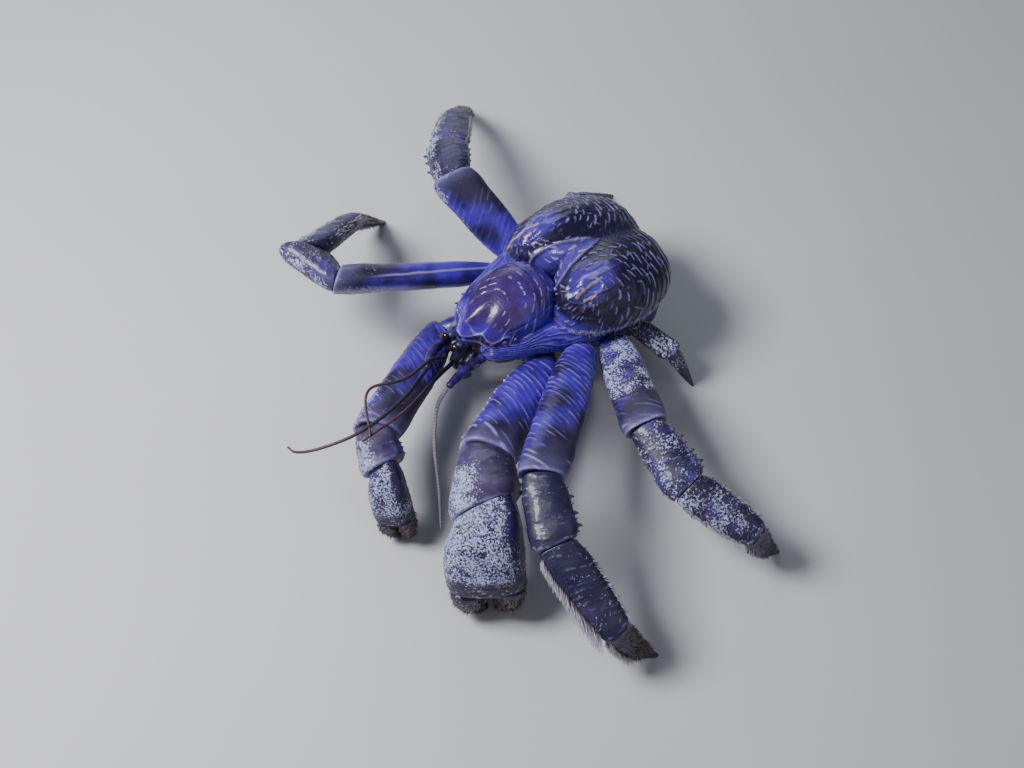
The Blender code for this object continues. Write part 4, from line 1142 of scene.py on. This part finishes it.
# Stations: a place along the middle line, the shift across, and half width and half thickness, as shares
PALM = ((0.0, 0.0, 0.37, 0.40), (0.09, 0.0, 0.43, 0.46), (0.22, 0.0, 0.48, 0.50), (0.40, 0.0, 0.50, 0.50),
        (KNUCKLE, 0.0, 0.48, 0.44), (KNUCKLE + 0.03, 0.25, 0.23, 0.39), (0.72, 0.27, 0.19, 0.32),
        (0.86, 0.22, 0.14, 0.22), (0.96, 0.12, 0.08, 0.12), (1.0, 0.07, 0.035, 0.05))
FINGER = ((KNUCKLE + 0.02, -0.25, 0.15, 0.28), (0.64, -0.25, 0.21, 0.36), (0.73, -0.25, 0.20, 0.33),
          (0.86, -0.21, 0.14, 0.23), (0.95, -0.12, 0.08, 0.13), (0.985, -0.07, 0.035, 0.05))
CHELIPEDS = {
    "cheliped_left": dict(
        joints=((14, -22, 36), (37, -28, 37), (78, -102, 52), (112, -127, 60), (144, -141, 0)),
        control=(145, -149, 40), width_axis=(0.57, 0.82, 0.05), slant=0.8,
        sizes=((13, 12), (17.8, 13.5), (20.5, 16), (49, 35)),
        merus=(0.0, 0.0, 0.06, 0.0, 1.0), wrist_dust=0.64, dust=0.56, grain=2.0),
    "cheliped_right": dict(
        joints=((-18, -46, 38), (-25, -67, 34), (27, -150, 53), (51, -159.5, 53), (74, -160, 0)),
        control=(73, -168, 34), width_axis=(0.62, 0.72, 0.30), slant=0.6,
        sizes=((10, 9), (14.5, 11), (14, 12), (25, 20)),
        merus=(0.3, 0.0, 0.2, 0.45, 0.6), wrist_dust=0.65, dust=0.54, grain=1.4),
}
WRIST_HOLLOW = ((0.86, 0.5), (0.7, 1.2), (0.3, 1.5))


class Hand:
    """A hand along a curve from its wrist, past a control point, to its tip."""

    def __init__(self, joint, control, tip, before, width_axis, tilt, width, thickness):
        self.joint, self.control, self.tip = (np.asarray(v, float) for v in (joint, control, tip))
        self.across, self.width, self.thickness = unit(width_axis), width, thickness
        self.near = unit(unit(self.control - self.joint) + before + tilt)

    def axes(self, u):
        """Middle, way onward, and directions across and through the hand, for each value of u."""
        u = np.asarray(u, float)[..., None]
        centre = (1 - u) ** 2 * self.joint + 2 * u * (1 - u) * self.control + u * u * self.tip
        centre = (1 - u) ** 2 * self.joint + 2 * u * (1 - u) * self.control + u * u * self.tip
        along = unit_rows(2 * (1 - u) * (self.control - self.joint) + 2 * u * (self.tip - self.control))
        side = unit_rows(self.across - (along @ self.across)[..., None] * along)
        return centre, along, side, np.cross(along, side)

    def surface(self, stations, u, angle):
        """Points on rounded sections read from the stations; near the wrist they slant into its plane."""
        u, angle = np.broadcast_arrays(np.asarray(u, float), np.asarray(angle, float))
        table = np.array(stations).T
        centre, along, side, thick = self.axes(u)
        shift, half_width, half_thick = (smooth_interp(u, table[0], table[k], steady=True) for k in (1, 2, 3))
        ox, oy = rounded(angle, half_width * self.width, half_thick * self.thickness, 2.6)
        off = ox[..., None] * side + oy[..., None] * thick
        slant = -(off @ self.near) / (along @ self.near)
        wrist = np.clip(1 - u / 0.4, 0, 1) * (u < KNUCKLE)
        start = GAP / 2 * (u < 0.05)
        aside, onward = (shift * self.width)[..., None], (wrist * slant + start)[..., None]
        return centre + side * aside + off + along * onward

    def perch(self, stations, places, degrees):
        return perch_on(functools.partial(self.surface, stations), places, degrees, 0.02)

    def onward(self):
        return unit(self.tip - self.joint)


def hand_detail(points, u, angle, hand, grain, dust, seed):
    """Granules packed as cells, a smooth field inside the wrist, scurf, a pale rim and rust at the tips."""
    around, circle = angle * hand.width * 0.42, 2 * np.pi * hand.width * 0.42
    run = u * np.linalg.norm(hand.tip - hand.joint) * 1.15
    columns = round(circle / grain)
    near, label = cells(run / grain, angle / (2 * np.pi) * columns, seed, columns)
    bead = soft(1 - near * 1.5)
    rows = run + 3 * swell(points, 9.0, seed + 1)
    dashes = striae(rows, around, 5.5, 4.5, seed + 9, 0.13, 0.35, 0.14, 0.0, 0.0, circle)
    inner = soft((np.cos(angle) - 0.30) / 0.5) * soft((0.50 - u) / 0.3)
    outer_rim = hump(np.cos(angle), -1.0, 0.10)
    tips = soft((u - 0.42) / 0.12)
    rough = (1 - 0.7 * inner) * (0.55 + 0.9 * tips)
    height = 0.40 * bead * (0.3 + 0.7 * label) * rough + 0.3 * dashes + 0.9 * swell(points, 10.0, seed + 2)
    spots = soft((label - 0.70) * 8) * bead * rough
    scurf = dust * (0.75 + 0.5 * noise(points, 8.0, seed + 5)) * (1 - 0.8 * inner)
    marks = {
        "pale": np.clip(0.5 * spots + 0.3 * dashes + 0.5 * outer_rim * bead, 0, 1),
        "brown": np.clip(0.45 + 0.7 * swell(points, 13.0, seed + 3) + 0.4 * tips, 0, 1),
        "shade": 0.25 + 0.5 * swell(points, 9.0, seed + 4) + 0.1 * inner + 0.3 * tips,
        "dust": scurf + 0.14 * bead * (1 - inner) + 0.15 * outer_rim - 0.55 * tips,
        "rust": np.clip(tips * (0.35 + soft((label - 0.4) * 3)), 0, 1),
        "cream": 0.8 * tips * soft((label - 0.62) * 6) * bead,
    }
    return height, marks


def build_hand(name, hand, grain, dust, seed):
    """The palm with its fixed finger, and the movable finger, as two pieces."""
    past_knuckle = (np.linspace(0, KNUCKLE - 0.02, 150), np.linspace(KNUCKLE - 0.015, KNUCKLE + 0.04, 26),
                    np.linspace(KNUCKLE + 0.05, 1.0, 90))
    spans = {"palm": (PALM, np.concatenate(past_knuckle), 150),
             "finger": (FINGER, np.linspace(KNUCKLE + 0.02, 0.985, 110), 120)}
    for part, (stations, u, columns) in spans.items():
        grid = hand.surface(stations, u[:, None], turns(columns))
        shape = grid.shape[:2]
        angle, u_wide = np.broadcast_to(turns(columns), shape), np.broadcast_to(u[:, None], shape)
        height, marks = hand_detail(grid, u_wide, angle, hand, grain, dust, seed)
        calm = soft(np.minimum(u - u[0], u[-1] - u) / 0.03)
        if part == "palm":
            calm = calm * (1 - hump(u, KNUCKLE + 0.015, 0.015))
        grid = raised(grid, (height - 0.25) * calm[:, None])
        if part == "palm":
            grid = np.concatenate([hollow(grid[0], hand.near, WRIST_HOLLOW)[::-1], grid])
            marks = padded(marks, shape, len(WRIST_HOLLOW))
        node = "%s_%s" % (name, part)
        dress(node + "_shell", grid, marks, hand_shell, "claw", node)


def build_cheliped(name, seed):
    look = CHELIPEDS[name]
    joints, ways = chain(look["joints"])
    ways[3] = unit(np.asarray(look["control"], float) - joints[3])
    tilt = look["slant"] * unit(look["width_axis"])
    parts = (("base", BASE, 40, 80, smooth_detail(0.1, 0.05), limb_shell),
             ("merus", MERUS, 200, 150, merus_detail(4.9, *look["merus"]), limb_shell),
             ("carpus", CARPUS, 120, 150, wrist_detail(look["wrist_dust"]), wrist_shell))
    balls = []
    for k, (word, profile, *made, finish) in enumerate(parts):
        length = Length(joints, ways, k, VIEW_FACE, profile, look["sizes"][k],
                        tilt=tilt if word == "carpus" else 0.0)
        LENGTHS[name, word] = length
        dress_length(name + "_" + word, length, *made, finish, "limb", seed + k)
        if k:
            balls.append(joint_ball(joints[k], ways[k - 1], ways[k], length, length.section(0, 0.8, 3.0)))
    balls.append(joint_ball(joints[3], ways[2], ways[3], length, length.section(-1, 0.8, 3.0)))
    hand = Hand(joints[3], look["control"], joints[4], ways[2], look["width_axis"], tilt, *look["sizes"][3])
    LENGTHS[name, "hand"] = hand
    build_hand(name, hand, look["grain"], look["dust"], seed + 7)
    knuckle, along, side, thick = hand.axes(KNUCKLE + 0.015)
    balls.append(ball_grid(knuckle - side * 0.25 * hand.width, (side, thick, along),
                           (0.13 * hand.width, 0.26 * hand.thickness, 2.0)))
    add_joint_skin(name, balls)


build_cheliped("cheliped_left", 300)
build_cheliped("cheliped_right", 340)

# %% [markdown]
# The fourth legs are short, with a small chalky hand each. Behind them the abdomen folds under the body: a
# row of broad tergites, down to the little tail plate under the thorax.

# %% Fourth legs and abdomen
SMALL_LEGS = {
    "leg4_left": ((16, 32, 42), (41, 39, 44), (71, 53, 34), (85, 66, 0)),
    "leg4_right": ((-16, 32, 42), (-41, 39, 44), (-70, 76, 34), (-80, 121, 0)),
}
ABDOMEN = ((0, 46, 46), (0, 59, 44), (0, 69, 30), (0, 62, 13.5), (0, 44, 11), (0, 23, 11), (0, 2, 9))
ABDOMEN_SIZE = ((33, 14), (34, 14.5), (34, 13), (32, 11), (27, 11), (18, 9))
SMALL_LEG_SIZE, SMALL_BALL = (7.5, 5.5), (4.2, 3.4, 1.8)


def build_small_leg(name, seed):
    joints, ways = chain(SMALL_LEGS[name])
    parts = (("base", BASE, smooth_detail(0.1, 0.2)), ("arm", MERUS, scaly_detail(3.6, 3.6, 0.8, 0.5)),
             ("hand", DACTYL, dactyl_detail(0.5)))
    balls = []
    for k, (word, profile, detail) in enumerate(parts):
        length = Length(joints, ways, k, VIEW_FACE, profile, SMALL_LEG_SIZE, floor=word == "hand")
        dress_length(name + "_" + word, length, 70, 60, detail, limb_shell, "limb", seed + k)
        if k:
            balls.append(joint_ball(joints[k], ways[k - 1], ways[k], length, SMALL_BALL))
    add_joint_skin(name, balls)


def tergite_detail(length, points, along, around, angle, seed):
    """A back plate with cross wrinkles and a worn rear edge."""
    folds = hump(swell(points * (0.3, 1, 1), 3.0, seed), 0, 0.06)
    marks = standard_marks(points, seed, 0.8, 0.14, 0.35)
    marks["pale"] = np.clip(0.2 * folds + 0.5 * hump(along, length.length - 1.8, 1.6), 0, 1)
    return 0.35 * folds + 0.5 * swell(points, 7.0, seed + 1), marks


def build_abdomen():
    joints, ways = chain(ABDOMEN)
    for k, size in enumerate(ABDOMEN_SIZE):
        last = k == len(ABDOMEN_SIZE) - 1
        face = np.array([0.0, 1.0, -1.0] if k < 2 else [0.0, 0.0, -1.0])
        length = Length(joints, ways, k, face, TELSON if last else TERGITE, size, power=2.8)
        node = "telson" if last else "abdomen_%d" % (k + 1)
        dress_length(node, length, 50, 150, tergite_detail, limb_shell, "underside", 400 + k, "plate")


build_small_leg("leg4_left", 220)
build_small_leg("leg4_right", 230)
build_abdomen()

# %% [markdown]
# The head: stalked eyes under the shield's brow, folded mouth legs below, and two pairs of feelers. A feeler
# is a tapering tube along a smooth curve, ringed where its short joints meet.

# %% Head and feelers
EYESTALK = ((3.6, -60.5, 57.2), (4.2, -70, 59.5), (5.2, -76, 61))
EYE = ((5.1, -75.4, 60.9), (5.5, -77.6, 61.4), (5.7, -79.0, 61.7), (5.9, -80.0, 62))
MAXILLIPED = ((4.9, -54, 40), (4.9, -64, 38), (4.9, -69, 33), (4.8, -70, 26), (4.4, -67, 20), (4.0, -63, 17))
# The middle lines of each side's antenna base, flagellum and antennule
ANTENNA = {
    "left": (((14, -60, 49), (16, -68, 50), (19, -80, 53), (26, -96, 58)),
             ((26.4, -96.9, 58.2), (33, -108, 58), (43, -117, 50), (73, -133, 24), (87, -141, 12)),
             ((5, -64, 50), (8, -79, 51), (25, -110, 69), (37, -134, 79), (42, -168, 80))),
    "right": (((-12, -61, 51), (-8.5, -75, 52.5), (1, -92, 62), (14, -104, 71)),
              ((14.6, -104.7, 71.5), (29, -130, 79), (36, -173, 81), (18, -202, 66), (10, -202, 60)),
              ((-3, -64, 51), (0, -80, 53), (9, -88, 63), (12, -98, 74), (20, -127, 84), (15, -145, 84),
               (43, -163, 82))),
}

RING_DEPTH = 0.12               # how much thinner a feeler is where its short joints meet


def tube_grid(points, radii, rows, columns, rings):
    """A tapering tube on a smooth curve through points, closed round at both ends, with ring marks."""
    points = np.asarray(points, float)
    stops = np.concatenate([[0], np.cumsum(np.linalg.norm(np.diff(points, axis=0), axis=1))])
    s = np.linspace(0, stops[-1], rows)
    line = np.stack([smooth_interp(s, stops, points[:, k]) for k in range(3)], -1)
    at_points = np.interp(np.linspace(0, 1, len(points)), np.linspace(0, 1, len(radii)), radii)
    radius = np.interp(s, stops, at_points)
    ahead = unit_rows(np.gradient(line, axis=0))
    side = unit_rows(np.cross(ahead, (0.13, 0.21, 1.0)))
    groove = hump((s / stops[-1] * rings) % 1.0, 0.5, 0.16) * (rings > 0)
    end = np.clip(np.minimum(s, s[-1] - s) / radius, 0.03, 1)
    radius = (radius * np.sqrt(1 - (1 - end) ** 2) * (1 - RING_DEPTH * groove))[:, None, None]
    angle = turns(columns)[None, :, None]
    other = np.cross(ahead, side)[:, None]
    grid = line[:, None] + radius * (np.cos(angle) * side[:, None] + np.sin(angle) * other)
    return grid, np.broadcast_to(groove[:, None], grid.shape[:2])


def tube_piece(node, kind, material, slot, points, radii, rows, columns, rings=0, lumps=0.0, seed=0, **looks):
    """A piece made of one tube; looks are masks that differ from the usual ones."""
    grid, ring = tube_grid(points, radii, rows, columns, rings)
    if lumps:
        grid = raised(grid, lumps * (noise(grid, 2.2, seed, 2) - 0.55))
    marks = {"ring": ring, "tip": np.linspace(0, 1, rows)[:, None], "brown": 0.3, "shade": 0.4, **looks}
    dress("%s_%s" % (node, kind), grid, marks, material, slot, node)


def build_head():
    for side, word in SIDES:
        mirror = np.array([side, 1, 1])
        stem, whip, small = ANTENNA[word]
        tube_piece("eyestalk_" + word, "shell", limb_shell, "limb", mirror * EYESTALK, (3.0, 2.8, 3.1),
                   60, 36, lumps=0.4, seed=501, brown=0.5)
        tube_piece("eye_" + word, "globe", black_eye, "eye", mirror * EYE, (3.2, 3.3, 3.1, 2.8), 40, 40)
        tube_piece("maxilliped_" + word, "shell", limb_shell, "limb", mirror * MAXILLIPED,
                   (4.2, 4.0, 3.7, 3.4, 2.6, 1.4), 110, 44, rings=5, lumps=0.5, seed=505, brown=0.7)
        tube_piece("antenna_base_" + word, "shell", limb_shell, "limb", stem, (3.6, 3.2, 3.2, 2.4),
                   110, 44, rings=4, lumps=0.5, seed=511, brown=0.45)
        tube_piece("antenna_flagellum_" + word, "shell", feeler_shell, "flagellum", whip,
                   (1.5, 1.3, 1.1, 0.9, 0.7), 260, 12, rings=44, dust=0.75 * (side > 0))
        tube_piece("antennule_" + word, "shell", feeler_shell, "flagellum", small,
                   (2.0, 1.6, 1.3, 1.0, 0.7), 260, 14, rings=4)


build_head()

# %% [markdown]
# Thorns stand in rows on the edges of the limbs, and blunt knobs on the edges of the claws. Each row is a set
# of roots on a limb's surface and the ways straight out of it there, so that one function can lay them all.

# %% Thorns and knobs
# Rows on each walking leg: the length, places on it, degrees round it, spike length, radius and lean
LEG_THORNS = (("carpus", (0.35, 0.6, 0.82), 0, 2.6, 1.5, 0.3),
              ("carpus", (0.22, 0.47, 0.71, 0.92), 14, 1.5, 0.9, 0.3),
              ("carpus", (0.4, 0.65, 0.85), 180, 1.2, 0.8, 0.3),
              ("propodus", (0.25, 0.45, 0.65, 0.85), 180, 1.8, 1.15, 0.5),
              ("propodus", (0.15, 0.35, 0.55, 0.75, 0.93), 2, 1.3, 0.8, 0.5),
              ("dactyl", (0.2, 0.38, 0.54, 0.68), 180, 2.0, 0.85, 0.6),
              ("dactyl", (0.28, 0.46, 0.62), 0, 1.8, 0.8, 0.6))


def row_of(perch, places, degrees, lengths, radii, lean=0.0, onward=(0, 0, 0)):
    """Spikes at places along a limb: roots, ways, lengths, radii, and a bend toward the limb's far end."""
    places = np.asarray(places, float)
    roots, ways = perch(places, degrees)
    n = len(places)
    return (roots, ways, np.broadcast_to(lengths, n), np.broadcast_to(radii, n),
            np.broadcast_to(lean * np.asarray(onward, float), (n, 3)))


def laid(name, rows, material, slot, *nodes):
    """All rows of spikes of one limb as one piece."""
    columns = [np.concatenate(values) for values in zip(*rows)]
    add_piece(name, spikes(name, *columns), material, slot, *nodes)


def build_leg_thorns(name, dice):
    rows = [row_of(LENGTHS[name, word].perch, *row, LENGTHS[name, word].along) for word, *row in LEG_THORNS]
    dactyl = LENGTHS[name, "dactyl"]
    for degrees in (30, 150, 210, 330):
        places = np.linspace(0.12, 0.72, 7) + 0.02 * dice.standard_normal(7)
        rows.append(row_of(dactyl.perch, places, degrees, 1.1 + 0.5 * dice.random(7), 0.5, 0.8, dactyl.along))
    laid(name + "_thorns", rows, thorn_horn, "claw_tip")


def hand_perches(name):
    """The ways to find roots on a hand's palm and on its movable finger, and the way that both run."""
    hand = LENGTHS[name, "hand"]
    palm, finger = (functools.partial(hand.perch, stations) for stations in (PALM, FINGER))
    return palm, finger, hand.onward()


def build_claw_knobs(name, tooth, dice):
    merus, carpus = LENGTHS[name, "merus"], LENGTHS[name, "carpus"]
    palm, finger, onward = hand_perches(name)
    edge = np.linspace(0.16, 0.94, 13)
    edge_degrees = 180 + 8 * dice.standard_normal(13)
    rows = [row_of(carpus.perch, (0.4, 0.62, 0.84), 0, tooth * 1.2, tooth * 0.7, 0.4, carpus.along),
            row_of(merus.perch, edge, edge_degrees, 0.5 + 0.35 * tooth, 0.4 + 0.3 * tooth),
            row_of(palm, (0.2, 0.3, 0.4, 0.5), 180, tooth * 0.9, tooth * 0.8, 0.4, onward)]
    for degrees in (168, 192, 180):
        places = np.linspace(0.12, 0.56, 12) + 0.012 * dice.standard_normal(12)
        rows.append(row_of(palm, places, degrees, tooth * 0.45, tooth * 0.42, 0.4, onward))
    laid(name + "_knobs", rows, knob_shell, "limb")
    teeth = [row_of(palm, (0.65, 0.74, 0.83, 0.91), 180, tooth * 0.9, tooth * 0.8),
             row_of(finger, (0.69, 0.785, 0.87), 0, tooth * 0.9, tooth * 0.8)]
    laid(name + "_teeth", teeth, knob_shell, "claw")


def build_shield_teeth():
    """Teeth on the shield's front rim, and a long spine on each antenna's base."""
    roots, ways, lengths = [], [], []
    for side, word in SIDES:
        for degrees, length in ((38, 4.0), (52, 3.0), (66, 2.4)):
            roots.append(shield_point(np.radians(side * degrees), np.radians(79.0)))
            ways.append((side * 0.5, -1.0, 0.15))
            lengths.append(length)
        roots.append(ANTENNA[word][0][1] + np.array([side * 2.2, 0, 0.8]))
        ways.append((side * 0.55, -1.0, 0.25))
        lengths.append(7.0)
    mesh = spikes("shield_teeth", np.array(roots), np.array(ways), np.array(lengths), 1.4)
    add_piece("shield_teeth", mesh, thorn_horn, "shell")


thorn_dice = np.random.default_rng(11)
for leg_name in LEGS:
    build_leg_thorns(leg_name, thorn_dice)
build_claw_knobs("cheliped_left", 2.2, thorn_dice)
build_claw_knobs("cheliped_right", 1.2, thorn_dice)
build_shield_teeth()

# %% [markdown]
# Stiff bristles fringe the two far lengths of the walking legs, the fingers and the rear margin of the shell.
# They are real hairs: thin three-sided spikes, and those on a limb bend toward its far end.

# %% Bristles
def tuft(perch, along, count, span, arc, lengths, lean, dice, block):
    """Hairs over a span of places and an arc of degrees, longer toward the far end.

    Their homes are on the first or the second half of the limb's unwrap, as block says.
    """
    places, degrees = dice.uniform(*span, count), dice.uniform(*arc, count)
    roots, ways = perch(places, degrees)
    ways = ways + 0.22 * dice.standard_normal((count, 3)) + lean * along
    homes = np.stack([(block + (degrees / 360) % 1.0) / 2, places], 1)
    length = dice.uniform(*lengths, count) * (0.55 + 0.7 * places)
    radius = 0.27 * (0.7 + 0.5 * dice.random(count))
    return roots, ways, length, radius, 0.35 * np.tile(along, (count, 1)), homes


def coat_piece(name, tufts, material, slot):
    """All tufts of one colour on one limb as one piece."""
    roots, ways, lengths, radii, bends, homes = (np.concatenate(values) for values in zip(*tufts))
    add_piece(name, spikes(name, roots, ways, lengths, radii, bends, 3, HAIR_STEPS, homes), material, slot)


def build_leg_bristles(name, dice):
    """The pale fringe of a leg's two far lengths, full on the front left leg, and dark hairs on its foot."""
    full = name == "leg2_left"
    tall, short = ((4.0, 8.5), (2.0, 4.2)) if full else ((1.6, 3.4), (1.4, 3.0))
    lower, upper, foot, dark = (1300, 260, 450, 600) if full else (400, 160, 160, 260)
    (propodus, hand_way), (dactyl, foot_way) = ((LENGTHS[name, word].perch, LENGTHS[name, word].along)
                                                for word in ("propodus", "dactyl"))
    coat_piece(name + "_fringe", [
        tuft(propodus, hand_way, lower, (0.06, 0.95), (150, 210), tall, 0.9, dice, 0),
        tuft(propodus, hand_way, upper, (0.3, 0.95), (-25, 25), (1.4, 2.8), 1.0, dice, 0),
        tuft(dactyl, foot_way, foot, (0.05, 0.55), (140, 220), tall, 0.9, dice, 1)], pale_bristle, "limb")
    coat_piece(name + "_dark_bristles", [
        tuft(dactyl, foot_way, dark, (0.12, 0.75), (0, 360), short, 1.1, dice, 1)], rusty_bristle, "claw_tip")


def build_claw_bristles(name, count, dice):
    palm, finger, onward = hand_perches(name)
    coat_piece(name + "_bristles", [
        tuft(palm, onward, count, (0.60, 0.90), (0, 360), (1.2, 2.6), 0.8, dice, 0),
        tuft(finger, onward, count // 2, (0.64, 0.90), (0, 360), (1.2, 2.4), 0.8, dice, 1)],
        rusty_bristle, "claw")


def build_rear_bristles(count, dice):
    phi, tilt = dice.uniform(0.9, 2 * np.pi - 0.9, count), np.radians(dice.uniform(84, 90, count))
    roots, higher = rear_point(phi, tilt), rear_point(phi, tilt - 0.05)
    ways = unit_rows(roots - higher) + 0.6 * unit_rows(roots - (0, REAR_CENTRE[1], REAR_RIM_Z + 4))
    ways = ways + 0.15 * dice.standard_normal((count, 3))
    homes = np.stack([phi / (2 * np.pi), np.degrees(tilt) / 90], 1)
    lengths = dice.uniform(1.2, 2.4, count)
    mesh = spikes("rear_margin_bristles", roots, ways, lengths, 0.16, 0.0, 3, HAIR_STEPS, homes)
    add_piece("rear_margin_bristles", mesh, pale_bristle, "shell")


hair_dice = np.random.default_rng(23)
for leg_name in LEGS:
    build_leg_bristles(leg_name, hair_dice)
build_claw_bristles("cheliped_left", 600, hair_dice)
build_claw_bristles("cheliped_right", 320, hair_dice)
build_rear_bristles(1100, hair_dice)

# %% [markdown]
# The floor is plain and pale. The key light hangs in front of the crab and above it, a broad, cooler fill
# stands at the crab's left, and a light low behind its right draws highlights along the glossy shell.

# %% Floor and light
FLOOR_HALF = 3.0


def add_floor():
    """A wide plane under the feet with the faintest mottling, so that it is not a dead flat tone."""
    shader = Shader("pale_floor")
    cloud = shader.clouds(0.15, 2.0)
    shader.finish(shader.mix(cloud, (0.54, 0.54, 0.56), (0.60, 0.60, 0.61)), 0.6 + cloud * 0.1)
    mesh = bpy.data.meshes.new("floor")
    corners = [(x * FLOOR_HALF, y * FLOOR_HALF, 0) for x, y in ((-1, -1), (1, -1), (1, 1), (-1, 1))]
    mesh.from_pydata(corners, [], [(0, 1, 2, 3)])
    mesh.materials.append(shader.material)
    floor = bpy.data.objects.new("floor", mesh)
    bpy.context.scene.collection.objects.link(floor)


def add_light(name, toward, distance, size, power, colour):
    """A square soft light that hangs in a direction from the crab and faces it."""
    data = bpy.data.lights.new(name, "AREA")
    data.size, data.energy, data.color = size, power, colour
    light = bpy.data.objects.new(name, data)
    back = unit(toward)
    right = unit(np.cross((0, 0, 1), back))
    stand(light, right, np.cross(back, right), back, back * distance)


add_floor()
add_light("key", (-0.35, -0.75, 1.1), 0.9, 0.30, 12.0, (0.96, 0.96, 1.0))
add_light("fill", (1.0, 0.2, 0.8), 1.1, 1.1, 1.7, (0.86, 0.90, 1.0))
add_light("rim", (-0.9, 0.5, 0.5), 1.0, 0.6, 2.0, (0.80, 0.86, 1.0))
world = bpy.data.worlds.new("soft_room")
world.use_nodes = True
sky = world.node_tree.nodes["Background"].inputs
sky["Color"].default_value = (0.80, 0.84, 0.92, 1.0)
sky["Strength"].default_value = 0.15
bpy.context.scene.world = world

# %% Sizes
largest = max(PIECES, key=PIECES.get)
print("pieces", len(PIECES), "triangles", sum(PIECES.values()), "largest", largest, PIECES[largest])
